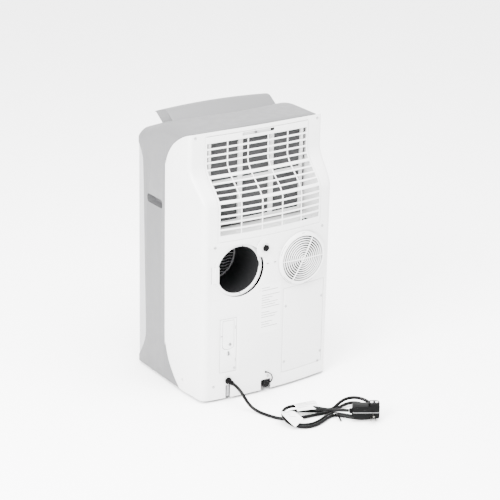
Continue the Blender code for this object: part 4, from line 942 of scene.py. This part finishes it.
def build_vent_cover():
    centre = (VENT.x, VENT.z)
    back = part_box("intake_vent_cover")[0].y
    rim_y = VENT_FACE - 0.003
    rim = turned("rim", [
        (PORT_R - 0.0010, back), (VENT_R - 0.004, back), (VENT_R - 0.004, 0.170), (VENT_R - 0.0006, 0.170),
        (VENT_R, 0.1706), (VENT_R, rim_y - 0.0070), (VENT_R - 0.0012, rim_y - 0.0052), (VENT_R - 0.0052, rim_y),
        (VENT_R - 0.0066, rim_y + 0.0006), (PORT_R - 0.0010, rim_y)], 1, centre, WHITE, 128)
    parts = [rim]
    rings = 9
    for k in range(rings):
        radius = 0.0085 + (PORT_R - 0.0085) * k / rings
        y = VENT_FACE - 0.004 * (radius / PORT_R) ** 2 - 0.0016
        parts.append(turned("ring", [(radius - 0.0011, y - 0.0015), (radius + 0.0011, y - 0.0015),
                                     (radius + 0.0011, y + 0.0009), (radius + 0.0006, y + 0.0015),
                                     (radius - 0.0006, y + 0.0015), (radius - 0.0011, y + 0.0009)],
                            1, centre, WHITE, 96, 50.0))
    hub = turned("hub", [(0.0, VENT_FACE - 0.0036), (0.0042, VENT_FACE - 0.0036), (0.0042, VENT_FACE - 0.0010),
                         (0.0034, VENT_FACE - 0.0002), (0.0, VENT_FACE)], 1, centre, WHITE, 48)
    parts.append(hub)
    for degrees in (118, 0):
        angle = math.radians(degrees)
        direction = Vector((math.cos(angle), 0.0, math.sin(angle)))
        route = []
        for reach in spread(-PORT_R, PORT_R, 24):
            y = VENT_FACE - 0.004 * (reach / PORT_R) ** 2 - 0.0014
            route.append(Vector((VENT.x, y, VENT.z)) + direction * reach)
        side = Vector((-math.sin(angle), 0.0, math.cos(angle)))
        parts.append(sweep("spoke", route, round_rect((-0.0011, -0.0018), (0.0011, 0.0018), 0.0006, 2), WHITE,
                           40.0, side))
    net = turned("net", [(0.0, 0.1720), (PORT_R + 0.001, 0.1720), (PORT_R + 0.001, 0.1728), (0.0, 0.1728)],
                 1, centre, DARK_PLASTIC_AND_SHADE, 64)
    parts.append(net)
    cover = merge("intake_vent_cover_shown", parts)
    ride(cover, "vent_cover", "intake_vent_cover", slot="intake_vent_cover")
    marks = []
    for start, end in ((15, 40), (-62, -34), (-118, -96)):
        steps = spread(math.radians(start), math.radians(end), 12)
        reach = VENT_R - 0.0026
        route = [(VENT.x + reach * math.cos(a), rim_y - 0.0030, VENT.z + reach * math.sin(a)) for a in steps]
        marks.append(sweep("mark", route, round_rect((-0.0004, -0.0004), (0.0004, 0.0004), 0.0002, 1), DARK_PLASTIC_AND_SHADE,
                           40.0, Vector((0.0, 1.0, 0.0))))
    arrow_z = VENT.z + VENT_R - 0.0030
    marks.append(box("tick", (VENT.x - 0.0045, rim_y - 0.0040, arrow_z - 0.0008),
                     (VENT.x + 0.0045, rim_y - 0.0024, arrow_z + 0.0004), DARK_PLASTIC_AND_SHADE))
    ride(merge("vent_bayonet_marks", marks), "vent_cover")


def build_drains():
    x, z = DRAIN_HIGH
    face = back_y(x, z)
    spout = turned("upper_drain_spout_shown", [
        (0.0062, face - 0.030), (0.0120, face - 0.030), (0.0120, face + 0.0010), (0.0114, face + 0.0015),
        (0.0068, face + 0.0015), (0.0062, face + 0.0009)], 1, (x, z), WHITE, 64)
    ride(spout, "machine", "upper_drain_spout", slot="upper_drain_spout")
    plug = prism("head", circle(0.0098, 6, (x, z), 0.3), 1, face + 0.0018, face + 0.0068, RUBBER)
    soften(plug, 0.0011, 3)
    stem = turned("stem", [(0.0, face - 0.015), (0.0052, face - 0.015), (0.0059, face - 0.013), (0.0059, face + 0.0022),
                           (0.0, face + 0.0022)], 1, (x, z), RUBBER, 40)
    ride(merge("upper_drain_plug_shown", [plug, stem]), "upper_plug", "upper_drain_plug", slot="upper_drain_plug")

    x, z = DRAIN_LOW
    face = back_y(x, z)
    profile = [(0.0055, face - 0.022), (0.0096, face - 0.022), (0.0104, face - 0.020)]
    for step in range(7):
        y = face - 0.019 + 0.0034 * step
        profile += [(0.0106, y), (0.0099, y + 0.0007), (0.0099, y + 0.0019), (0.0106, y + 0.0026)]
    profile += [(0.0092, face + 0.0060), (0.0, face + 0.0064), (0.0, face - 0.0035), (0.0055, face - 0.0035)]
    cap = turned("lower_drain_cap_shown", profile, 1, (x, z), RUBBER, 64)
    ride(cap, "lower_cap", "lower_drain_cap", slot="lower_drain_cap")
    strap_y = face - 0.019
    ring = turned("ring", [(0.0108, strap_y - 0.0016), (0.0122, strap_y - 0.0016), (0.0122, strap_y + 0.0016),
                           (0.0108, strap_y + 0.0016)], 1, (x, z), RUBBER, 48)
    surface = back_y(x, 0.05)
    arc = fine_line([(x - 0.0060, strap_y + 0.0006, z - 0.0088), (x - 0.0145, face - 0.0030, z - 0.0030),
                     (x - 0.0185, surface + 0.0040, z + 0.0100), (x - 0.0145, surface + 0.0040, z + 0.0235),
                     (x - 0.0040, surface + 0.0032, z + 0.0315), (x + 0.0012, surface + 0.0020, z + 0.0330)], 8)
    strap = sweep("strap", arc, round_rect((-0.0018, -0.0011), (0.0018, 0.0011), 0.0007, 2), RUBBER, 40.0,
                  Vector((0.0, 1.0, 0.0)))
    stud = turned("stud", [(0.0, -0.001), (0.0028, -0.001), (0.0028, 0.0022), (0.0018, 0.0032), (0.0, 0.0034)], 1,
                  (0.0, 0.0), RUBBER, 32)
    stud.data.transform(Matrix.Translation((x + 0.0012, surface, z + 0.0330)))
    ride(merge("drain_cap_strap_shown", [ring, strap, stud]), "machine", "drain_cap_strap", slot="drain_cap_strap")
    back_screw("drain_screw", "machine", x - 0.0060, z + 0.0200, 0.2)


# ================================================================ side frame and front
HOOP_SECTION = (
    [("leg", 0), ("leg", 1)]
    + [("edge", math.pi / 2 * step / 10) for step in range(1, 11)]
    + [("top", x) for x in (HOOD_HALF - 0.008, 0.140, 0.120, 0.100, 0.080, 0.060, 0.040, 0.020, 0.0)])


def plan_half(y):
    front_centre = front_y(HALF - CORNER_FRONT_R) + CORNER_FRONT_R
    back_centre = back_y(HALF - CORNER_TOP_R, 1.0) - CORNER_TOP_R
    if y < front_centre:
        depth = min(CORNER_FRONT_R, front_centre - y)
        return HALF - CORNER_FRONT_R + math.sqrt(CORNER_FRONT_R ** 2 - depth ** 2) + 0.002
    if y > back_centre:
        depth = min(CORNER_TOP_R, y - back_centre)
        return HALF - CORNER_TOP_R + math.sqrt(CORNER_TOP_R ** 2 - depth ** 2)
    return HALF


def hoop_station(index, t, inset):
    radius = EDGE_TOP_R - inset
    kind, value = HOOP_SECTION[index]
    if kind == "leg":
        x = HALF - inset
    elif kind == "edge":
        x = HALF - EDGE_TOP_R + radius * math.cos(value)
    else:
        x = value
    y = front_y(x) + inset * (t == 0) + (back_y(x, 1.0) - front_y(x)) * t
    z_edge = top_z(x, y) - EDGE_TOP_R
    if kind == "leg":
        z = SKIRT_Z if value == 0 else z_edge
    elif kind == "edge":
        z = z_edge + radius * math.sin(value)
    else:
        z = top_z(x, y) - inset
    return (min(x, plan_half(y) - inset), y, z)


def build_side_and_top_frame():
    count = len(HOOP_SECTION)
    depths = [0.0, 0.008, 0.015, 0.030, 0.045, 0.065, 0.09, 0.12, 0.145, 0.20, *spread(0.35, 0.64, 16), 0.74,
              0.85, 0.92, 0.955, 0.965, 0.975, 0.983, 0.99, 0.996, 1.0]

    def place(k, t, side):
        if k < count:
            return hoop_station(k, t, side * WALL)
        x, y, z = hoop_station(2 * count - 2 - k, t, side * WALL)
        return (-x, y, z)

    hoop = sheet_between("side_and_top_frame_skin", range(2 * count - 1), depths, place, GREY)
    front = shifted(FRONT_SEAM, SEAM / 2)
    back = shifted(BACK_SEAM, -SEAM / 2)
    carve(hoop, side_region(back + [(0.300, 0.80), (-0.300, 0.80), (-0.300, front[-1][1])]
                            + list(reversed(front))), "INTERSECT")
    cutters = [prism("outlet", round_rect((-OUTLET_HALF, OUTLET_FRONT_Y), (OUTLET_HALF, OUTLET_BACK_Y), 0.004),
                     2, 0.60, 0.80)]
    outer = HALF - 0.001
    for side in (-1, 1):
        low, high = sorted((side * (outer - HANDLE_DEPTH), side * (HALF + 0.01)))
        cutters.append(prism("recess", round_rect((HANDLE_Y[0], HANDLE_Z[0]), (HANDLE_Y[1], HANDLE_Z[1]), 0.008),
                             0, low, high))
    carve(hoop, join_cutters(cutters))
    soften(hoop, 0.0006)
    cups = []
    for side in (-1, 1):
        low, high = sorted((side * (outer - HANDLE_DEPTH - WALL), side * (HALF - 0.0012)))
        outline = round_rect((HANDLE_Y[0] - WALL, HANDLE_Z[0] - WALL), (HANDLE_Y[1] + WALL, HANDLE_Z[1] + WALL),
                             0.0105)
        cup = prism("cup", outline, 0, low, high, GREY)
        low, high = sorted((side * (outer - HANDLE_DEPTH), side * (HALF + 0.01)))
        carve(cup, prism("hollow", round_rect((HANDLE_Y[0], HANDLE_Z[0]), (HANDLE_Y[1], HANDLE_Z[1]), 0.008),
                         0, low, high))
        cups.append(cup)
    ride(merge("side_and_top_frame_shown", [hoop, *cups]), "machine", "side_and_top_frame",
         slot="side_and_top_frame")


def build_front_panel():
    def place(k, z, side):
        x, y = front_outline(side * WALL)[k]
        return (x, y, z)

    panel = sheet_between("front_panel_skin", range(len(front_outline(0.0))),
                          [0.020, 0.10, 0.20, 0.30, 0.40, 0.50, 0.58, 0.64, 0.690], place, PALE)
    carve(panel, side_region(shifted(FRONT_SEAM, -SEAM / 2) + [(-0.300, 0.660), (-0.300, -0.02)]), "INTERSECT")
    carve(panel, prism("window", round_rect((-PANEL_HALF - SEAM, PANEL_Z[0] - SEAM),
                                            (PANEL_HALF + SEAM, PANEL_Z[1] + SEAM), 0.0010), 1, -0.25, -0.10))
    soften(panel, 0.0005)
    ride(panel, "machine", "front_panel", slot="front_panel")


def build_hood():
    profile = fine_line((HOOD_BACK, (-0.068, 0.7375), HOOD_RIDGE, (-0.121, 0.7445), HOOD_TIP), 6)

    def place(x, k, side):
        y, z = profile[k]
        along = (profile[min(len(profile) - 1, k + 1)] - profile[max(0, k - 1)]).normalized()
        z += HOOD_ARCH * (1 - (x / HOOD_HALF) ** 2)
        return (x, y + along.y * side * HOOD_PLATE, z + along.x * side * HOOD_PLATE)

    plate = sheet_between("plate", spread(-HOOD_HALF, HOOD_HALF, 40), range(len(profile)), place, GREY)
    soften(plate, 0.0008, 3)
    pieces = [plate]
    wall = fine_line(((-0.050, 0.7225), (-0.070, 0.7355), (-0.0915, 0.7470), (-0.120, 0.7425), (-0.1450, 0.7335)), 4)
    wall += fine_line(((-0.111, 0.7120), (-0.107, 0.7035), (-0.098, 0.7020)), 3)
    wall += [Vector((-0.058, 0.7060)), Vector((-0.047, 0.7080))]
    for side in (-1, 1):
        low, high = sorted((side * HOOD_HALF, side * (HOOD_HALF - 0.003)))
        cheek = prism("cheek", wall, 0, low, high, GREY)
        soften(cheek, 0.0005)
        low, high = sorted((side * (HOOD_HALF - 0.001), side * (OUTLET_HALF + 0.001)))
        pin = prism("pin", circle(0.0030, 32, HOOD_PIVOT), 0, low, high, GREY)
        pieces += [cheek, pin]
    ribs = [prism("rib", [(-0.060, 0.7265), (-0.0915, 0.7435), (-0.120, 0.7395), (-0.135, 0.7345), (-0.100, 0.7300)],
                  0, x - 0.0008, x + 0.0008, GREY) for x in (-0.080, 0.0, 0.080)]
    ride(merge("louvre_hood_shown", pieces + ribs), "hood", "louvre_hood", slot="louvre_hood")


# ================================================================ power cord, tie, tags and plug
CORD_D = 0.009
RELAXING = 30                # rounds of evening out the cord's bends
LEAD_ROUTE = (
    (0.1280, 0.1995, 0.0580), (0.1280, 0.2115, 0.0580), (0.1250, 0.2344, 0.0508), (0.1200, 0.2491, 0.0317),
    (0.1130, 0.2638, 0.0122), (0.1030, 0.2867, 0.0050), (0.0960, 0.3070, 0.0048), (0.0880, 0.3290, 0.0048),
    (0.0800, 0.3450, 0.0049), (0.0716, 0.3560, 0.0055), (0.0550, 0.3690, 0.0050), (0.0200, 0.3755, 0.0050))
HANK_AT = Vector((0.035, 0.385, 0.0))
HANK_ALONG = Vector((-0.9769, 0.2137, 0.0))
HANK_ACROSS = Vector((0.2137, 0.9769, 0.0))
# The hank's turns, each as (along, across, height) from its left end.
HANK_ROUTE = (
    (0.0635, -0.0170, 0.0048), (0.0980, -0.0198, 0.0048),
    (0.1130, -0.0255, 0.0055), (0.1310, -0.0345, 0.0080), (0.1510, -0.0415, 0.0115), (0.1720, -0.0410, 0.0120),
    (0.1910, -0.0300, 0.0100), (0.2030, -0.0110, 0.0070), (0.2040, 0.0100, 0.0050), (0.1930, 0.0280, 0.0048),
    (0.1730, 0.0360, 0.0048), (0.1510, 0.0315, 0.0048), (0.1320, 0.0175, 0.0048), (0.1160, 0.0010, 0.0048),
    (0.0980, -0.0102, 0.0048),
    (0.0820, -0.0050, 0.0048), (0.0660, 0.0060, 0.0048), (0.0460, 0.0210, 0.0048), (0.0240, 0.0320, 0.0048),
    (0.0000, 0.0340, 0.0050), (-0.0220, 0.0260, 0.0070), (-0.0365, 0.0090, 0.0120), (-0.0375, -0.0110, 0.0150),
    (-0.0270, -0.0290, 0.0155), (-0.0080, -0.0395, 0.0140), (0.0150, -0.0420, 0.0110), (0.0400, -0.0390, 0.0070),
    (0.0650, -0.0330, 0.0050), (0.0980, -0.0293, 0.0048),
    (0.1130, -0.0350, 0.0070), (0.1300, -0.0460, 0.0130), (0.1500, -0.0545, 0.0185), (0.1730, -0.0545, 0.0210),
    (0.1950, -0.0430, 0.0200), (0.2100, -0.0230, 0.0150), (0.2155, 0.0010, 0.0085), (0.2110, 0.0240, 0.0050),
    (0.1970, 0.0410, 0.0048), (0.1760, 0.0475, 0.0048), (0.1520, 0.0425, 0.0048), (0.1320, 0.0280, 0.0048),
    (0.1160, 0.0105, 0.0048), (0.0980, -0.0007, 0.0048),
    (0.0830, 0.0050, 0.0048), (0.0660, 0.0165, 0.0048), (0.0460, 0.0320, 0.0048), (0.0230, 0.0440, 0.0048),
    (-0.0030, 0.0460, 0.0050), (-0.0280, 0.0360, 0.0070), (-0.0450, 0.0150, 0.0130), (-0.0480, -0.0100, 0.0190),
    (-0.0390, -0.0320, 0.0235), (-0.0200, -0.0450, 0.0255), (0.0030, -0.0460, 0.0255), (0.0270, -0.0360, 0.0250),
    (0.0530, -0.0170, 0.0245))
TAIL_ROUTE = ((-0.0420, 0.4060, 0.0240), (-0.0500, 0.4110, 0.0240), (-0.0590, 0.4200, 0.0250),
              (-0.0690, 0.4315, 0.0268), (-0.0800, 0.4420, 0.0275))
TIE_ALONG = 0.098
TIE_ACROSS = -0.015
PLUG_TURN = math.radians(-30.0)
PLUG_LENGTH, PLUG_DEPTH, PLUG_HEIGHT = 0.072, 0.030, 0.035
PLUG_HEAD = 0.007


def hank_point(along, across, height):
    return HANK_AT + HANK_ALONG * along + HANK_ACROSS * across + Vector((0.0, 0.0, height))


def cord_route():
    points = [Vector(point) for point in LEAD_ROUTE]
    points += [hank_point(*place) for place in HANK_ROUTE]
    points += [Vector(point) for point in TAIL_ROUTE]
    route = fine_line(points, 6)
    for _ in range(RELAXING):
        inner = [(before + 2 * point + after) / 4 for before, point, after in zip(route, route[1:], route[2:])]
        route = [route[0], *inner, route[-1]]
    return route


def add_cord():
    route = cord_route()
    curve = bpy.data.curves.new("mains_cord", "CURVE")
    curve.dimensions = "3D"
    spline = curve.splines.new("POLY")
    spline.points.add(len(route) - 1)
    for place, point in zip(spline.points, route):
        place.co = (*point, 1.0)
    curve.bevel_depth = CORD_D / 2
    curve.bevel_resolution = 6
    curve.use_fill_caps = True
    curve.materials.append(CORD_JACKET)
    cord = bpy.data.objects.new("mains_cord", curve)
    bpy.context.scene.collection.objects.link(cord)
    return cord


def add_strain_relief():
    x, z = CORD_EXIT
    face = back_y(x, z)
    profile = [(0.0050, face - 0.010), (0.0082, face - 0.010), (0.0082, face + 0.0012), (0.0098, face + 0.0014),
               (0.0098, face + 0.0030), (0.0072, face + 0.0044)]
    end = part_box("strain_relief")[1].y
    for step in range(4):
        y = face + 0.0050 + (end - face - 0.0062) * step / 4
        profile += [(0.0070 - 0.0002 * step, y), (0.0060 - 0.0002 * step, y + 0.0004),
                    (0.0060 - 0.0002 * step, y + 0.0011), (0.0070 - 0.0002 * step, y + 0.0015)]
    profile += [(0.0058, end), (0.0050, end)]
    relief = turned("strain_relief_shown", profile, 1, (x, z), RUBBER, 48)
    ride(relief, "machine", "strain_relief", slot="strain_relief")
    low = SKIRT_Z + 0.002
    # The notch's inner wall is given pale grey plastic, darker than the white shell: painted shade on the wall.
    notch = box("cord_notch_wall", (x - 0.0075, face - 0.0075, low), (x + 0.0010, face - 0.0050, 0.047), PALE)
    soften(notch, 0.0004)
    ride(notch, "machine")


def add_tie():
    """Narrow band round the four strands, its free end standing out toward the back of the room."""
    half_across, half_up = 0.0205, 0.0056
    band = [hank_point(TIE_ALONG, TIE_ACROSS + u, 0.0052 + v)
            for u, v in round_rect((-half_across, -half_up + 0.0005), (half_across, half_up), 0.0050, 5)]
    loop = [*band, band[0]]
    outline = round_rect((-0.0024, -0.0005), (0.0024, 0.0005), 0.0003, 1)
    pieces = [sweep("band", loop, outline, CORD_JACKET, 40.0, HANK_ALONG)]
    tail = fine_line([hank_point(TIE_ALONG, TIE_ACROSS + half_across - 0.001, 0.0105),
                      hank_point(TIE_ALONG + 0.001, TIE_ACROSS + half_across + 0.010, 0.0115),
                      hank_point(TIE_ALONG + 0.003, TIE_ACROSS + half_across + 0.021, 0.0072),
                      hank_point(TIE_ALONG + 0.004, TIE_ACROSS + half_across + 0.030, 0.0022)], 5)
    pieces.append(sweep("tail", tail, outline, CORD_JACKET, 40.0, HANK_ALONG))
    # Small plated-steel arc on the black tie's head: painted glint.
    glint_arc = fine_line([hank_point(TIE_ALONG - 0.004, TIE_ACROSS + half_across, 0.0108),
                      hank_point(TIE_ALONG, TIE_ACROSS + half_across + 0.0015, 0.0128),
                      hank_point(TIE_ALONG + 0.004, TIE_ACROSS + half_across, 0.0108)], 4)
    pieces.append(sweep("glint_arc", glint_arc, circle(0.0012, 10), STEEL, 40.0, HANK_ACROSS))
    tie = merge("cord_tie", pieces)
    return ride(tie, "machine")


def add_tag(name, stations, width, rules):
    """Folded paper tag: stations are (along, across, height) points down its middle."""
    route = fine_line([hank_point(*station) for station in stations], 5)
    side = HANK_ALONG.copy()
    side.rotate(Matrix.Rotation(rules["turn"], 3, "Z"))
    pieces = [sweep("leaf", route, round_rect((-width / 2, -0.0002), (width / 2, 0.0002), 0.0001, 1), PAPER, 60.0, side)]
    start, end, count = rules["start"], rules["end"], rules["count"]
    for k in range(count):
        index = start + (end - start) * k // count
        along = (route[index + 1] - route[index]).normalized()
        lift = side.cross(along).normalized() * 0.00035
        if lift.z < 0:
            lift.negate()
        reach = width / 2 - 0.004 - 0.006 * ((k * 2) % 3)
        centre = route[index] + lift - side * (width / 2 - 0.004 - reach)
        pieces.append(sweep("rule", [centre - side * reach, centre, centre + side * reach],
                            round_rect((-0.0004, -0.0001), (0.0004, 0.0001), 0.00005, 1), INK, 60.0, along))
    return ride(merge(name, pieces), "machine")


def add_plug():
    centre = (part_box("plug")[0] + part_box("plug")[1]) / 2
    at = Vector((-0.1190, 0.4650, 0.0273))
    turn = Matrix.Translation(at) @ Matrix.Rotation(PLUG_TURN, 4, "Z")
    half_l, half_d, half_h = PLUG_LENGTH / 2, PLUG_DEPTH / 2, PLUG_HEIGHT / 2
    lower = prism("lower", round_rect((-half_l, -half_d), (half_l, half_d), 0.0055, 8), 2, -half_h, -0.0004,
                  BLACK)
    upper = prism("upper", round_rect((-half_l, -half_d), (half_l, half_d), 0.0055, 8), 2, 0.0004, half_h, BLACK)
    head = prism("head", round_rect((-half_l, -half_d + 0.0012), (-half_l + 0.0295, half_d - 0.0012), 0.0090, 8), 2,
                 half_h - 0.003, half_h + PLUG_HEAD, BLACK)
    for piece in (lower, upper, head):
        soften(piece, 0.0016, 3)
    seam = prism("seam", round_rect((-half_l + 0.0005, -half_d + 0.0005), (half_l - 0.0005, half_d - 0.0005), 0.0050, 6),
                 2, -0.0008, 0.0008, KEY)
    for x in (-half_l + 0.008, -half_l + 0.021):
        carve(head, prism("well", circle(0.0046, 32, (x, 0.0)), 2, half_h + PLUG_HEAD - 0.0036, half_h + 0.02))
    pieces = [lower, upper, head, seam]
    for x in (-half_l + 0.012, -half_l + 0.0247):
        prong = box("prong", (x - 0.0008, half_d - 0.002, -0.0168), (x + 0.0008, half_d + 0.0168, -0.0102), BRASS)
        soften(prong, 0.0005)
        pieces.append(prong)
    pieces.append(prism("earth", circle(0.0023, 24, (-half_l + 0.0184, -0.0035)), 1, half_d - 0.002, half_d + 0.0165,
                        BRASS))
    profile = [(0.0044, half_l - 0.002), (0.0090, half_l - 0.002), (0.0088, half_l + 0.0006)]
    for step in range(3):
        x = half_l + 0.0012 + 0.0024 * step
        profile += [(0.0080 - 0.0006 * step, x), (0.0068 - 0.0005 * step, x + 0.0004),
                    (0.0068 - 0.0005 * step, x + 0.0012), (0.0080 - 0.0006 * step, x + 0.0016)]
    profile += [(0.0052, half_l + 0.0080), (0.0044, half_l + 0.0080)]
    pieces.append(turned("boot", profile, 0, (0.0, 0.0), RUBBER, 40))
    plug = merge("plug_shown", pieces)
    plug.data.transform(turn)
    return ride(plug, "machine", "plug", slot="plug")


def build_power_cord():
    add_strain_relief()
    cord = add_cord()
    tie = add_tie()
    upper_tag = add_tag("cord_tag_1", [(0.028, -0.0640, 0.0190), (0.028, -0.0530, 0.0275), (0.028, -0.0390, 0.0325),
                                       (0.028, -0.0260, 0.0310), (0.028, -0.0130, 0.0245)], 0.062,
                        {"turn": 0.06, "start": 8, "end": 19, "count": 5})
    lower_tag = add_tag("cord_tag_2", [(-0.044, -0.0120, 0.0310), (-0.041, -0.0010, 0.0330), (-0.035, 0.0130, 0.0310),
                                       (-0.028, 0.0270, 0.0250), (-0.020, 0.0400, 0.0180)], 0.031,
                        {"turn": -0.55, "start": 5, "end": 18, "count": 5})
    plug = add_plug()
    ride(cord, "machine", "power_cord", "cord_hank", "cord_tail", slot="power_cord")


# ================================================================ CAD pieces kept as they are
KEPT = {
    "filter_frame": (WHITE_SHADED_INSIDE, 0.0004), "filter_mesh": (NET, 0.0), "filter_bay": (WHITE_SHADED_INSIDE, 0.0003),
    "lower_drain_spout": (WHITE_SHADED_INSIDE, 0.0003), "hood_bearing_left": (GREY, 0.0004),
    "hood_bearing_right": (GREY, 0.0004), "outlet_duct": (BLACK, 0.0004), "deflector_vane_1": (GREY, 0.0003),
    "deflector_vane_2": (GREY, 0.0003), "deflector_vane_3": (GREY, 0.0003), "control_panel": (PALE, 0.0005),
    "display_window": (SMOKED, 0.0003), "control_board": (BOARD, 0.0002), "power_button": (KEY, 0.0004),
    "mode_button": (KEY, 0.0004), "fan_button": (KEY, 0.0004), "timer_button": (KEY, 0.0004),
    "base_tray": (DARK_PLASTIC_AND_SHADE, 0.0008), "upper_blower_scroll": (PALE, 0.0004), "lower_blower_scroll": (PALE, 0.0004),
    "upper_blower_wheel": (BLACK, 0.0002), "lower_blower_wheel": (BLACK, 0.0002),
    "upper_blower_motor": (STEEL, 0.0005), "lower_blower_motor": (STEEL, 0.0005), "evaporator_coil": (COIL, 0.0),
    "condenser_coil": (COIL, 0.0), "compressor": (ENAMEL, 0.0008), "discharge_pipe": (COPPER, 0.0),
    "divider_deck": (PALE, 0.0004), "plug_reset_button": (LIGHT_KEY_AND_TAB_SHADE, 0.0006),
    "plug_test_button": (LIGHT_KEY_AND_TAB_SHADE, 0.0006)}
for side in ("rear_left", "rear_right", "front_left", "front_right"):
    KEPT["caster_fork_" + side] = (BLACK, 0.0005)
    KEPT["caster_wheel_" + side] = (TREAD, 0.0008)


def dress_kept_nodes():
    for name, (material, width) in KEPT.items():
        node = NODES[name]
        for place in node.material_slots:
            place.material = material
        if not node.material_slots:
            node.data.materials.append(material)
        node.data.shade_smooth()
        node.data.set_sharp_from_angle(angle=math.radians(35.0))
        if width:
            weld = node.modifiers.new("weld", "WELD")
            weld.merge_threshold = 0.00001
            rounding = node.modifiers.new("round", "BEVEL")
            rounding.width = width
            rounding.segments = 2
            rounding.limit_method = "ANGLE"
            rounding.angle_limit = math.radians(40.0)


# ================================================================ floor and light
def add_floor():
    material, tree, shader = new_material("studio_floor", (0.97, 0.97, 0.97), 0.7)
    tone = span(tree, noise(tree, 3.0), 0.0, 1.0)
    tree.links.new(blend_colours(tree, tone, (0.97, 0.97, 0.97), (0.96, 0.96, 0.96)),
                   shader.inputs["Base Color"])
    bm = bmesh.new()
    bmesh.ops.create_grid(bm, x_segments=2, y_segments=2, size=9.0)
    floor = put("studio_floor", bm, material)


def add_area_light(name, place, aim, size, power):
    data = bpy.data.lights.new(name, "AREA")
    data.shape = "RECTANGLE"
    data.size, data.size_y = size
    data.energy = power
    light = bpy.data.objects.new(name, data)
    bpy.context.scene.collection.objects.link(light)
    direction = Vector(aim) - Vector(place)
    light.matrix_world = Matrix.Translation(Vector(place)) @ direction.to_track_quat("-Z", "Y").to_matrix().to_4x4()


def add_light():
    world = bpy.data.worlds.new("studio")
    world.use_nodes = True
    background = world.node_tree.nodes["Background"]
    background.inputs["Color"].default_value = (1.0, 1.0, 1.0, 1.0)
    background.inputs["Strength"].default_value = WORLD_STRENGTH
    bpy.context.scene.world = world
    aim = (0.0, 0.0, 0.4)
    add_area_light("softbox_left", (3.0, 1.4, 2.2), aim, (1.8, 1.8), 620.0)
    add_area_light("softbox_overhead", (0.0, 0.8, 3.4), aim, (2.6, 2.6), 420.0)


WORLD_STRENGTH = 4.4

build_rear_shell()
build_back_details()
build_cord_cover()
build_grille()
build_exhaust()
build_vent_cover()
build_drains()
build_side_and_top_frame()
build_front_panel()
build_hood()
build_power_cord()
dress_kept_nodes()
bpy.data.objects.remove(SCREW)
add_floor()
add_light()
